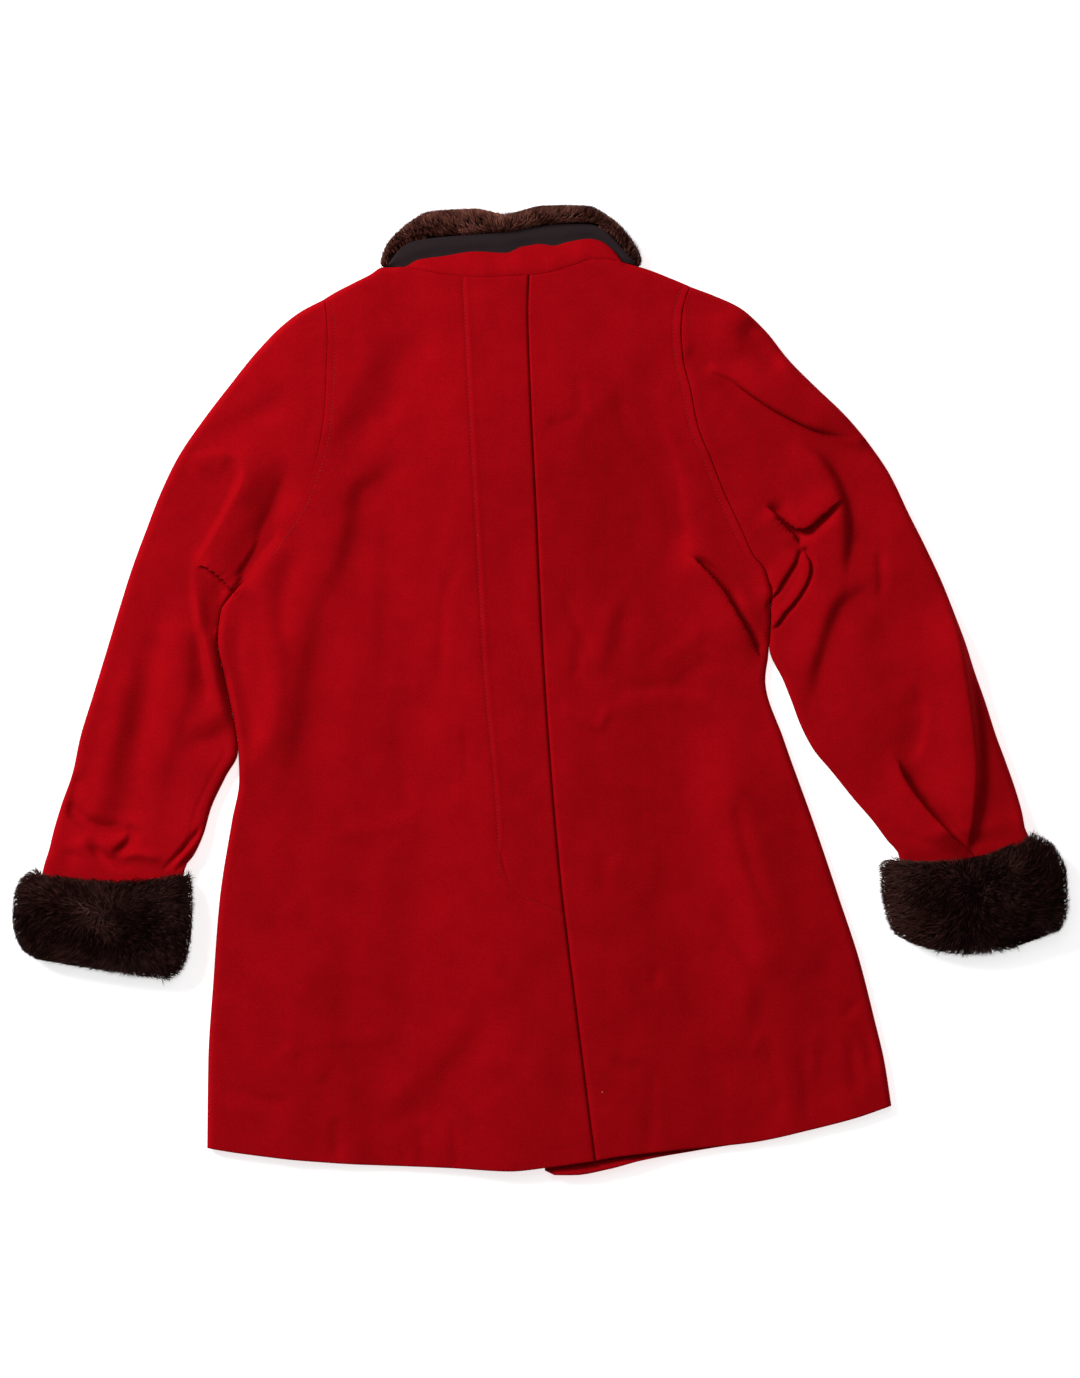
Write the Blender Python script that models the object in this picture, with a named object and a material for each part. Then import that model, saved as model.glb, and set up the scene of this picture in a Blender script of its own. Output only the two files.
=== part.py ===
"""Women's red wool overcoat with fur collar and fur cuffs, laid face down on a flat surface.

The frame is the coat's own: +Y runs from the hem to the collar, +Z is up off the surface, and -X is
the wearer's left, as the coat lies on its fronts. The origin is on the surface, under the middle of
the coat. Every size is in millimetres until make_object() turns the mesh into metres.
"""

import math

import bmesh
import bpy
import numpy as np

MILLIMETRE = 0.001
SHARP = math.radians(50)

# Cloth and how it lies
CLOTH = 2.6            # thickness of the melton wool
LINING = 1.2           # thickness of the collar's lining band
GAP = 0.3              # between two pieces at a seam, and between two layers
LAYER = CLOTH + GAP    # what one layer of wool adds to the stack
SLACK = 3.2            # most air between the fronts and the back
ROLL = 7.0             # width over which a side or shoulder edge rounds off
ROLL_STEPS = (0.0, 0.9, 3.2, ROLL)

# Heights of the nape, the hem below it, and each side's hem and shoulder tip
HEM_Y, NAPE_Y = -462.0, 398.0
LEFT_HEM_Y, LEFT_TIP_Y = -444.0, 377.0
RIGHT_HEM_Y, RIGHT_TIP_Y = -403.0, 389.0

# Share of the way from hem to shoulder of each row of the body's grid, apart from the shoulder roll
BODY_ROWS = (0.0, 0.03, 0.10, 0.19, 0.28, 0.37, 0.4675, 0.51, 0.56, 0.60, 0.64, 0.655, 0.67, 0.69,
             0.72, 0.76, 0.80, 0.84, 0.88, 0.92, 0.95, 0.976)
LEFT_APEX, RIGHT_APEX = 0.4675, 0.56   # where sleeve and side part below the armpit
ARMHOLE_FROM, ARMHOLE_TO = 0.645, 0.675  # the rolled side turns into the cut armhole here

# Side seam and armhole of each side: y, x
LEFT_SIDE = ((-444, -322), (-359, -321), (-282, -316), (-204, -310), (-127, -298), (-88, -291),
             (-60, -292), (13, -306), (47, -312), (75, -309), (93, -297), (117, -274), (144, -255),
             (175, -234), (204, -222), (234, -213), (267, -208), (304, -206), (341, -205), (377, -208))
RIGHT_SIDE = ((-403, 340), (-359, 333), (-321, 324), (-262, 309), (-204, 290), (-127, 264), (-49, 236),
              (9, 218), (33, 221), (67, 223), (91, 223), (113, 219), (130, 206), (156, 194), (190, 178),
              (220, 166), (255, 152), (290, 145), (319, 138), (345, 136), (369, 138), (389, 145))

# Lines down the centre of the back and of the fronts: y, x
PLEAT_FOLD = ((-455, 53), (-304, 34), (-169, 18), (28, 3), (173, -4), (299, -10), (367, -12), (397, -11))
PLEAT_SEAM = ((-464, -34), (-151, -40), (-76, -45), (6, -53), (110, -59), (236, -66), (394, -74))
RIGHT_FRONT_EDGE = ((-466, 5), (386, -68))
LEFT_FRONT_EDGE = ((-454, 94), (386, 10))
BUTTON_IN = 30.0       # buttons' line, in from the right front's edge
OVERLAP_OUT = 18.0     # width in which the layers come down beside the fronts' overlap
PLEAT_RAMP = 12.0      # the same beside the pleat's seam
SOFT_RAMP = 40.0       # and below the end of its stitching
STITCH_END_Y = -190.0

# Hems and shoulders: x, y
BACK_HEM = ((-322, -444), (-291, -449), (-232, -456), (-174, -460), (-92, -463), (-29, -466), (10, -462),
            (52, -456), (75, -452), (129, -446), (203, -439), (259, -427), (305, -415), (340, -403))
RIGHT_FRONT_HEM = ((5, -466), (15, -470), (32, -470), (67, -464), (97, -456), (155, -446), (213, -437),
                   (259, -427), (305, -415), (340, -403))
LEFT_FRONT_HEM = ((-322, -444), (-232, -455), (-136, -459), (-39, -461), (19, -460), (58, -457),
                  (94, -453))
SHOULDERS = ((-208, 377), (-196, 384), (-180, 392), (-164, 400), (-152, 407), (-131, 407), (-116, 404),
             (-89, 399), (-57, 397), (-26, 398), (6, 401), (31, 408), (54, 415), (73, 413), (94, 408),
             (107, 404), (128, 396), (145, 389))
NECK_X, NECK_Y = -29.0, 377.0   # middle of the neck opening
NECK_HALF = 114.0      # half its width
SHOULDER_FROM = 106.0  # distance from its middle where the back's top edge starts to round off
NECK_DROP = 55.0       # depth of the fronts' neckline below the back's
NECK_FROM = 0.88       # share of the height above which the fronts' rows bend down to it

# The collar's fur under the neck holds the coat up there
NECK_LIFT = 14.0
NECK_RADII = (155.0, 106.5)
NECK_FULL, NECK_NONE = 0.85, 1.35
STRIP_LIFT = 2.5       # the buttons hold up the fronts' overlap
STRIP_OUT = 30.0
STRIP_TOP = (235.0, 275.0)   # above the top button the lift dies away
OVERLAP_TOP = (352.0, 392.0)   # above the fronts' necklines the back comes down a layer
PLAIN_LOFT, SIDE_LOFT = 1.5, 3.2   # air in the layers at the centre and at the sides and sleeves
LOFT_FROM, LOFT_OVER, LOFT_X = 90.0, 110.0, 20.0

# Outer edge of each sleeve beside the body: share of the body's height, x, y
LEFT_OUTER = ((0.4675, -445, -47), (0.56, -419, 38), (0.64, -397, 110), (0.69, -381, 154),
              (0.75, -356, 214), (0.83, -306, 286), (0.91, -256, 345), (0.95, -231, 365),
              (0.976, -208, 377))
RIGHT_OUTER = ((0.55, 394, 92), (0.59, 378, 127), (0.64, 357, 169), (0.69, 337, 210), (0.75, 302, 257),
               (0.83, 247, 311), (0.91, 199, 365), (0.95, 169, 380), (0.976, 145, 389))
# Rows of each sleeve below the body: outer x, y, inner x, y, height off the surface, share of folds
LEFT_LOWER = ((-452, -80, -304, -85, 0.0, 1.0), (-463, -112, -318, -115, 1.5, 1.0),
              (-470, -136, -325, -140, 5.5, 1.0), (-475, -157, -334, -160, 10.5, 0.8),
              (-479, -170, -342.5, -172, 12.2, 0.1), (-484, -200, -347, -204, 12.2, 0.1),
              (-484, -222, -351, -231, 12.2, 0.1), (-481.5, -240, -354, -250, 12.2, 0.1))
RIGHT_LOWER = ((403, 67, 235, 9, 0.0, 1.0), (411, 45, 243, -11, 0.0, 1.0), (420, 17, 252, -35, 0.0, 1.0),
               (430, -11, 264, -58, 0.0, 1.0), (441, -45, 283, -81, 0.0, 1.0),
               (451, -72, 303, -106, 1.5, 1.0), (460, -98, 322, -128, 5.0, 1.0),
               (466, -120, 336, -147, 9.5, 0.8), (468.5, -134.5, 345.5, -158, 12.2, 0.1),
               (482, -161, 348.5, -172, 12.2, 0.1), (490, -190, 351.5, -192, 12.2, 0.1),
               (490, -219, 358, -225, 12.2, 0.1))
SLEEVE_COLUMNS = 5     # between the two rolled edges

# Largest folds: start x, y, middle x, y, end x, y, height (below 0 for a trough), width on each side
FOLDS = (
    (-339, 225, -315, 230, -291, 230, 3, 12, 12),     # left sleeve, step below the shoulder
    (-288, 220, -308, 164, -329, 115, 7, 14, 11),
    (-239, 222, -261, 173, -286, 125, -4, 12, 14),
    (-331, 115, -315, 106, -297, 94, -4, 8, 8),
    (-331, 110, -323, 57, -308, -11, 6, 16, 10),
    (-334, 47, -325, -6, -318, -45, -3, 8, 7),
    (-349, 125, -361, -17, -392, -108, 3, 18, 22),
    (-378, 86, -390, -1, -414, -134, -4, 14, 14),
    (-450, -114, -426, -138, -397, -132, -4, 8, 8),
    (-467, -137, -446, -139, -426, -144, 4, 8, 7),
    (-358, -11, -349, -54, -344, -98, 3, 12, 10),
    (-181, 198, -215, 67, -276, -125, -4, 16, 18),    # left half of the back
    (-205, 190, -240, 70, -292, -100, 3, 18, 16),
    (-269, 47, -264, -17, -274, -72, 3, 12, 12),
    (-138, 335, -165, 290, -181, 248, -2, 20, 20),
    (-242, -340, -221, -355, -200, -372, 2, 14, 12),
    (-58, -301, -97, -364, -104, -449, -2, 14, 18),
    (157, 118, 189, 81, 213, 31, -5, 11, 11),         # right half of the back
    (172, 130, 201, 101, 219, 62, 4, 13, 11),
    (26, 86, 39, 65, 48, 38, 2, 12, 12),
    (65, -17, 121, -14, 177, -11, 1.5, 14, 14),
    (171, -217, 208, -267, 213, -340, -2, 18, 18),
    (291, -311, 307, -345, 320, -379, -2, 16, 14),
    (194, 307, 239, 296, 268, 283, 4, 12, 11),        # right sleeve
    (165, 302, 223, 275, 300, 248, -3, 10, 10),
    (245, 241, 300, 183, 300, 112, -4, 13, 15),
    (224, 230, 250, 205, 285, 200, 4, 24, 20),
    (291, 183, 257, 171, 230, 167, -4, 12, 11),
    (250, 130, 228, 94, 223, 41, -4, 8, 9),
    (259, 122, 249, 96, 232, 74, 4, 10, 9),
    (329, 115, 289, 62, 259, -17, -4, 15, 15),
    (404, 50, 426, -49, 414, -146, -5, 9, 12),
    (388, 38, 405, -49, 399, -127, 6, 14, 12),
    (365, -8, 355, -74, 409, -153, -3, 14, 14),
)
FOLD_TAPER = 0.3       # share of a fold's length over which each end dies away
FOLD_ENDS = 0.25       # share of its height that a fold keeps at its ends
FOLD_STEPS = 12

# Fur cuffs: left x, y, right x, y, bow of the middle, lowest and highest z, and the slit's left x,
# right x and half height
LEFT_CUFF = ((-495, -174, -337, -176, -10, 5, 26, -483.5, -340.3, 3.3),
             (-503, -185, -335, -189, -5, 1.5, 34, -485, -342, 3.3),
             (-509, -204, -334, -209, 0, 0, 38, -488, -345, 3.3),
             (-510, -222, -335, -233, 0, 0, 38, -488, -348.5, 3.3),
             (-505, -243, -339, -255, 0, 0, 36, -486, -351.5, 3.3),
             (-490, -257, -346, -272, 0, 1.5, 31, -480, -356.5, 1.7),
             (-475, -263, -356, -281, 0, 5, 25, -468, -364, 1.7))
RIGHT_CUFF = ((337, -161, 482, -137, -15, 5, 26, 342, 475.5, 3.3),
              (328, -170, 498, -152, -6, 1.5, 34, 345, 483, 3.3),
              (328, -190, 510, -180, 0, 0, 38, 348.5, 491, 3.3),
              (332, -212, 511, -205, 0, 0, 38, 351, 494, 3.3),
              (339, -231, 506, -226, 0, 0, 36, 355, 494, 3.3),
              (358, -244, 489, -236, -3, 1.5, 31, 367, 480, 1.7),
              (380, -252, 465, -247, -6, 5, 25, 390, 456, 1.7))
SLIT_Z = 15.15         # middle of the slit that the sleeve's end lies in
CUFF_SIDES = 24
CUFF_POWER = 2.7       # squareness of the cuff's section
SLIT_POWER = 9.0

# Collar: edge of the under collar and of the lining band, x, y
UNDER_COLLAR_EDGE = ((-131, 407), (-116, 415), (-68, 419), (-39, 421), (-10, 429), (29, 432), (48, 433),
                     (61, 429), (76, 415), (80, 411))
LINING_EDGE = ((-147, 409.5), (-141, 418), (-133, 427), (-121, 432), (-107, 433), (-68, 435), (-34, 438),
               (0, 445), (29, 448), (48, 448), (61, 445), (75, 432), (87, 417), (93, 410))
COLLAR_UNDERSIDE = 18.0   # height of the under collar's underside at its outer edge
LINING_TUCK = 6.0         # how far the lining band reaches in under the collar
COLLAR_FINEST = 1.6       # least width at the tips
COLLAR_CROWN = 3.0        # how much higher the under collar starts over the pleat
CROWN_X, CROWN_WIDTH = -45.0, 40.0
COLLAR_ARCH = 1.5         # and how much it bows between its edges
LINING_ARCH = (0.0, 0.0, 1.3, 0.3)   # rise of the lining band, row by row
# Ring of the collar's fur: inner x, y, lip x, y where the lining ends, outer x, y, height at the lip, crest
FUR_RING = ((-33, 340, -34, 314, -35, 289, 11.5, 11.5), (-45, 341, -47, 312, -50, 288, 13.7, 13.7),
            (-77, 346, -87, 320, -97, 292, 13.7, 13.7), (-111, 362, -127, 338, -143, 314, 13.7, 13.7),
            (-121, 391, -139, 384, -157, 377, 13.7, 13.7), (-124, 403, -141, 402, -156, 400, 13.7, 13.7),
            (-118, 414, -143, 420, -150, 421.5, 16.1, 18), (-106, 416, -123, 435, -134, 445, 16.1, 24),
            (-87, 416, -94, 436, -105, 466, 16.1, 28), (-60, 414, -61, 438, -63, 468, 16.1, 30),
            (-34, 414, -34, 440, -34, 461, 16.1, 29), (0, 418, 2, 447, 5, 469, 16.1, 30),
            (32, 423, 39, 450, 44, 468, 16.1, 29), (54, 421, 66, 445, 71, 451, 16.1, 25),
            (63, 413, 84, 427, 89, 430, 16.1, 20), (66, 408, 91, 415, 95, 417, 16.0, 16.3),
            (68, 402, 83, 403, 98, 403, 13.7, 13.7),
            (63, 388, 81, 383, 99, 378, 13.7, 13.7), (53, 362, 69, 338, 85, 314, 13.7, 13.7),
            (19, 346, 29, 320, 39, 292, 13.7, 13.7), (-13, 341, -11, 312, -8, 288, 13.7, 13.7),
            (-25, 340, -24, 314, -23, 289, 11.5, 11.5))
# Section of the ring: in which width, share across it, and height as shares of the lip's and the crest's
FUR_PROFILE = (("under", 0.08, 0.0, 0.0), ("under", 0.0, 0.4, 0.0), ("under", 0.05, 0.85, 0.0),
               ("under", 0.2, 1.0, 0.0), ("outer", 0.0, 1.0, 0.0), ("outer", 0.3, 0.2, 0.8),
               ("outer", 0.55, 0.0, 1.0), ("outer", 0.85, 0.0, 0.85), ("outer", 1.0, 0.0, 0.45),
               ("outer", 0.9, 0.0, 0.0))

# Buttons on the outside of the right front, which lies underneath
BUTTON_RADIUS, BUTTON_THICK = 14.0, 2.2
BUTTON_YS = (212, 67, -69, -215)
BUTTON_SIDES = 20


def smooth(share):
    """Eased step from 0 to 1."""
    share = np.clip(share, 0.0, 1.0)
    return share * share * (3 - 2 * share)


def curve(rows, at):
    """Value at each place on a smooth curve through rows of place and value, in rising order."""
    place, value = np.array(rows, float).T
    step = np.diff(place)
    rise = np.diff(value) / step
    turning = rise[:-1] * rise[1:] <= 0
    total = np.where(turning, 1.0, rise[:-1] + rise[1:])
    inner = np.where(turning, 0.0, 2 * rise[:-1] * rise[1:] / total)
    slope = np.concatenate([rise[:1], inner, rise[-1:]])
    at = np.clip(np.asarray(at, float), place[0], place[-1])
    i = np.clip(np.searchsorted(place, at, side="right") - 1, 0, len(step) - 1)
    t = (at - place[i]) / step[i]
    return ((1 + 2 * t) * (1 - t) ** 2 * value[i] + t * (1 - t) ** 2 * step[i] * slope[i]
            + t * t * (3 - 2 * t) * value[i + 1] - t * t * (1 - t) * step[i] * slope[i + 1])


def rounding(depth):
    """Share of its full height that a rolled edge has at a depth in from its outermost line."""
    short = np.clip(1 - np.asarray(depth, float) / ROLL, 0.0, 1.0)
    return np.sqrt(1 - short ** 2)


def fold(x, y, row):
    """Height that one fold of the table adds at each point."""
    (ax, ay, bx, by, cx, cy), (height, before, after) = row[:6], row[6:]
    t = np.linspace(0, 1, FOLD_STEPS + 1)
    bend_x, bend_y = 2 * bx - (ax + cx) / 2, 2 * by - (ay + cy) / 2
    px = (1 - t) ** 2 * ax + 2 * t * (1 - t) * bend_x + t * t * cx
    py = (1 - t) ** 2 * ay + 2 * t * (1 - t) * bend_y + t * t * cy
    nearest, along, side = np.full(np.shape(x), 1e9), np.zeros(np.shape(x)), np.zeros(np.shape(x))
    for i in range(FOLD_STEPS):
        dx, dy = px[i + 1] - px[i], py[i + 1] - py[i]
        share = np.clip(((x - px[i]) * dx + (y - py[i]) * dy) / (dx * dx + dy * dy), 0, 1)
        away_x, away_y = x - px[i] - share * dx, y - py[i] - share * dy
        away = np.hypot(away_x, away_y)
        closer = away < nearest
        nearest = np.where(closer, away, nearest)
        along = np.where(closer, (i + share) / FOLD_STEPS, along)
        side = np.where(closer, dx * away_y - dy * away_x, side)
    width = np.where(side > 0, before, after)
    taper = smooth(along / FOLD_TAPER) * smooth((1 - along) / FOLD_TAPER)
    return height * np.exp(-(nearest / width) ** 2) * (FOLD_ENDS + (1 - FOLD_ENDS) * taper)


def relief(x, y):
    """Height of the back, or a sleeve's upper side, above layers that lie flat."""
    loft = PLAIN_LOFT + (SIDE_LOFT - PLAIN_LOFT) * smooth((np.abs(x - LOFT_X) - LOFT_FROM) / LOFT_OVER)
    return np.maximum(0.0, loft + sum(fold(x, y, row) for row in FOLDS))


def neck_lift(x, y):
    """Height of the coat's lowest layer over the collar's fur."""
    out_x, out_y = np.abs(x - NECK_X) / NECK_RADII[0], np.abs(y - NECK_Y) / NECK_RADII[1]
    out = (out_x ** 3 + out_y ** 3) ** (1 / 3)
    return NECK_LIFT * (1 - smooth((out - NECK_FULL) / (NECK_NONE - NECK_FULL)))


def overlap(x, y, out, top):
    """1 where the fronts overlap, dying away over a width on either side and between two heights above."""
    left = smooth(1 - (curve(RIGHT_FRONT_EDGE, y) - x) / out)
    right = smooth(1 - (x - curve(LEFT_FRONT_EDGE, y)) / out)
    low, high = top
    return left * right * (1 - smooth((y - low) / (high - low)))


def lying_lift(x, y):
    """How far the collar's fur and the buttons hold the lowest layer off the surface."""
    return neck_lift(x, y) + STRIP_LIFT * overlap(x, y, STRIP_OUT, STRIP_TOP)


def floor_height(x, y):
    """Underside of the lowest layer of the body."""
    return lying_lift(x, y) + np.maximum(0.0, relief(x, y) - SLACK)


def back_height(x, y):
    """Underside of the back over the fronts, apart from the pleat."""
    layers = 1 + overlap(x, y, OVERLAP_OUT, OVERLAP_TOP)
    return lying_lift(x, y) + LAYER * layers + relief(x, y)


def make_object(name, work, look):
    """The named object of a finished bmesh in millimetres, shaded smooth."""
    bmesh.ops.scale(work, vec=(MILLIMETRE,) * 3, verts=work.verts)
    bmesh.ops.recalc_face_normals(work, faces=work.faces)
    mesh = bpy.data.meshes.new(name)
    work.to_mesh(mesh)
    work.free()
    mesh.shade_smooth()
    mesh.set_sharp_from_angle(angle=SHARP)
    mesh.materials.append(look)
    made = bpy.data.objects.new(name, mesh)
    bpy.context.scene.collection.objects.link(made)
    return made


def skin(work, points, ring=False):
    """Triangles over a grid of points, and the grid's vertices.

    Every square is split from its low x to its high x, so that layers over one grid never cross.
    """
    grid = [[work.verts.new(point) for point in row] for row in points]
    count = len(grid[0])
    for near, far in zip(grid, grid[1:]):
        for c in range(count if ring else count - 1):
            d = (c + 1) % count
            if near[c].co.x <= near[d].co.x:
                corners = (near[c], near[d], far[d]), (near[c], far[d], far[c])
            else:
                corners = (near[c], near[d], far[c]), (near[d], far[d], far[c])
            for three in corners:
                work.faces.new(three)
    return grid


def wall(name, outside, inside, look, ring=False):
    """A closed wall between two grids of points, with its cut edges; a ring's columns close on themselves."""
    work = bmesh.new()
    outer, inner = skin(work, outside, ring), skin(work, inside, ring)
    borders = [(outer[0], inner[0]), (outer[-1], inner[-1])]
    if not ring:
        borders += [([row[c] for row in outer], [row[c] for row in inner]) for c in (0, -1)]
    for over, under in borders:
        count = len(over)
        for c in range(count if ring else count - 1):
            d = (c + 1) % count
            work.faces.new((over[c], over[d], under[d]))
            work.faces.new((over[c], under[d], under[c]))
    return make_object(name, work, look)


def tube(name, sections, look):
    """A closed solid through rings of points, with flat ends."""
    work = bmesh.new()
    rings = skin(work, sections, ring=True)
    for end in (rings[0], rings[-1]):
        work.faces.new(end)
    return make_object(name, work, look)


def points(x, y, z):
    """One grid of points from grids of x, y and z."""
    return np.stack(np.broadcast_arrays(x, y, z), axis=-1)


def between(start, end, count):
    """Evenly spaced columns between two columns."""
    return [start + (end - start) * i / (count + 1) for i in range(1, count + 1)]


# Rows of the grid: share of the height, drop below the shoulder line, and weight of a rolled side
SHARES = np.array(BODY_ROWS + (1.0,) * len(ROLL_STEPS))
DROPS = np.array((0.0,) * len(BODY_ROWS) + ROLL_STEPS[::-1])
SIDE_WEIGHT = 1 - smooth((SHARES - ARMHOLE_FROM) / (ARMHOLE_TO - ARMHOLE_FROM))
SIDE_COLUMNS = 6


def ramp_x(y):
    """Where the back's left half starts to climb over the pleat, softly below the stitching's end."""
    soft = smooth((STITCH_END_Y + SOFT_RAMP - y) / (2 * SOFT_RAMP))
    return curve(PLEAT_SEAM, y) - PLEAT_RAMP - (SOFT_RAMP - PLEAT_RAMP) * soft


GUIDES = {
    "left": lambda y: curve(LEFT_SIDE, y) + GAP / 2,
    "ramp": ramp_x,
    "seam": lambda y: curve(PLEAT_SEAM, y),
    "edge": lambda y: curve(RIGHT_FRONT_EDGE, y),
    "button": lambda y: curve(RIGHT_FRONT_EDGE, y) + BUTTON_IN,
    "fold": lambda y: curve(PLEAT_FOLD, y),
    "flap": lambda y: curve(LEFT_FRONT_EDGE, y),
    "clear": lambda y: curve(LEFT_FRONT_EDGE, y) + OVERLAP_OUT,
    "right": lambda y: curve(RIGHT_SIDE, y) - GAP / 2,
}


def body_grid():
    """Points of the grid that all four body panels share, and each guide's column."""
    lines = {}
    for name, line in GUIDES.items():
        hem, top = curve(BACK_HEM, line(HEM_Y)), curve(SHOULDERS, line(NAPE_Y))
        lines[name] = line(hem + (top - hem) * SHARES - DROPS)
    columns = [lines["left"] + step for step in ROLL_STEPS]
    columns += between(columns[-1], lines["ramp"], SIDE_COLUMNS)
    found = {"left": 0}
    for name in ("ramp", "seam", "edge", "button", "fold", "flap", "clear"):
        found[name] = len(columns)
        columns.append(lines[name])
    columns += between(columns[-1], lines["right"] - ROLL, SIDE_COLUMNS)
    columns += [lines["right"] - step for step in ROLL_STEPS[::-1]]
    found["right"] = len(columns) - 1
    x = np.array(columns).T
    hem, top = curve(BACK_HEM, x[0]), curve(SHOULDERS, x[-1])
    y = hem + (top - hem) * SHARES[:, None] - DROPS[:, None]
    return x, y, found


def edge_depths(count):
    """Depth of each column of the body in from its left edge and from its right edge."""
    left, right = np.full(count, ROLL), np.full(count, ROLL)
    left[:len(ROLL_STEPS)] = ROLL_STEPS
    right[-len(ROLL_STEPS):] = ROLL_STEPS[::-1]
    return left, right


def panel(x, y, low, high, outside, inside, up, first, last):
    """Outside and inside of a body panel: columns first to last, rounded off at sides and shoulders.

    low and high are the underside and the top of the whole stack, outside and inside the heights of
    the panel's own faces, and up says that it is a back panel.
    """
    left, right = edge_depths(x.shape[1])
    shoulder = smooth((np.abs(x[-1] - NECK_X) - SHOULDER_FROM) / (NECK_HALF - SHOULDER_FROM))
    depth = np.where(SHARES == 1.0, DROPS, ROLL)[:, None]
    side, crown = SIDE_WEIGHT[:, None], shoulder[None, :]
    shape = ((1 - side * (1 - rounding(left))) * (1 - side * (1 - rounding(right)))
             * (1 - crown * (1 - rounding(depth))))
    inset_x = side * CLOTH * (np.clip(1 - left / ROLL, 0, 1) - np.clip(1 - right / ROLL, 0, 1))
    inset_y = -crown * CLOTH * (1 - depth / ROLL)
    below = len(BODY_ROWS) - 1
    inset_x = inset_x + inset_y * (x[-1] - x[below]) / (y[-1] - y[below])
    middle = (low + high) / 2 + (GAP / 2 if up else -GAP / 2)
    outer = points(x, y, middle + (outside - middle) * shape)
    inner = points(x + inset_x, y + inset_y, middle + (inside - middle) * shape)
    return outer[:, first:last + 1], inner[:, first:last + 1]


def make_fronts(wool):
    """The two fronts, right over left as worn, so that the right one lies lowest."""
    x, y, found = body_grid()
    half = np.clip(1 - ((x[-1] - NECK_X) / NECK_HALF) ** 2, 0, 1)
    bend = smooth((SHARES - NECK_FROM) / (1 - NECK_FROM))[:, None]
    y = y - NECK_DROP * np.sqrt(half) * bend
    high = back_height(x, y) + CLOTH
    for name, hem, first, last in (("front_right", RIGHT_FRONT_HEM, "edge", "right"),
                                   ("front_left", LEFT_FRONT_HEM, "left", "flap")):
        own = y.copy()
        own[0] = curve(hem, x[0])
        low = floor_height(x, own)
        lap = LAYER * smooth(1 - (x[:, found["edge"]][:, None] - x) / OVERLAP_OUT)
        under = low + lap if name == "front_left" else low
        outer, inner = panel(x, own, low, high, under, under + CLOTH, False, found[first], found[last])
        wall(name, outer, inner, wool)


def make_backs(wool):
    """The two halves of the back, with the left one folded under itself over the right one's pleat."""
    x, y, found = body_grid()
    low, base = floor_height(x, y), back_height(x, y)
    high = base + CLOTH
    outer, inner = panel(x, y, low, high, high, base, True, found["seam"], found["right"])
    wall("back_right", outer, inner, wool)
    ramp, seam, fold_at = found["ramp"], found["seam"], found["fold"]
    raised = base + 2 * LAYER * (np.arange(x.shape[1]) > ramp)
    outer, inner = panel(x, y, low, high, raised + CLOTH, raised, True, 0, fold_at - 1)
    turn = CLOTH + GAP / 2
    fold_x, button_x = x[:, fold_at], x[:, fold_at - 1]
    share = turn / (fold_x - button_x)
    fold_y = y[:, fold_at] + (y[:, fold_at - 1] - y[:, fold_at]) * share
    middle = (base[:, fold_at] + (base[:, fold_at - 1] - base[:, fold_at]) * share) + LAYER + turn
    over, under = [], []
    for angle in np.radians((90, 45, 0, -45, -90)):
        for skin_points, radius in ((over, turn), (under, GAP / 2)):
            skin_points.append(points(fold_x - turn + radius * math.cos(angle), fold_y,
                                      middle + radius * math.sin(angle)))
    for c in range(fold_at - 1, seam - 1, -1):
        over.append(points(x[:, c], y[:, c], base[:, c] + LAYER))
        under.append(points(x[:, c], y[:, c], base[:, c] + LAYER + CLOTH))
    outer = np.concatenate([outer, np.stack(over, axis=1)], axis=1)
    inner = np.concatenate([inner, np.stack(under, axis=1)], axis=1)
    wall("back_left", outer, inner, wool)
    return x[-1], y[-1]


def side_points(line, tip_y, hem_y, apex):
    """Points that a sleeve shares with the body's side, from the armhole's first row to the apex."""
    shares = np.array([share for share in BODY_ROWS[::-1] if share >= apex - 1e-6])
    y = hem_y + (tip_y - hem_y) * shares
    return shares, curve(line, y), y


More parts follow.
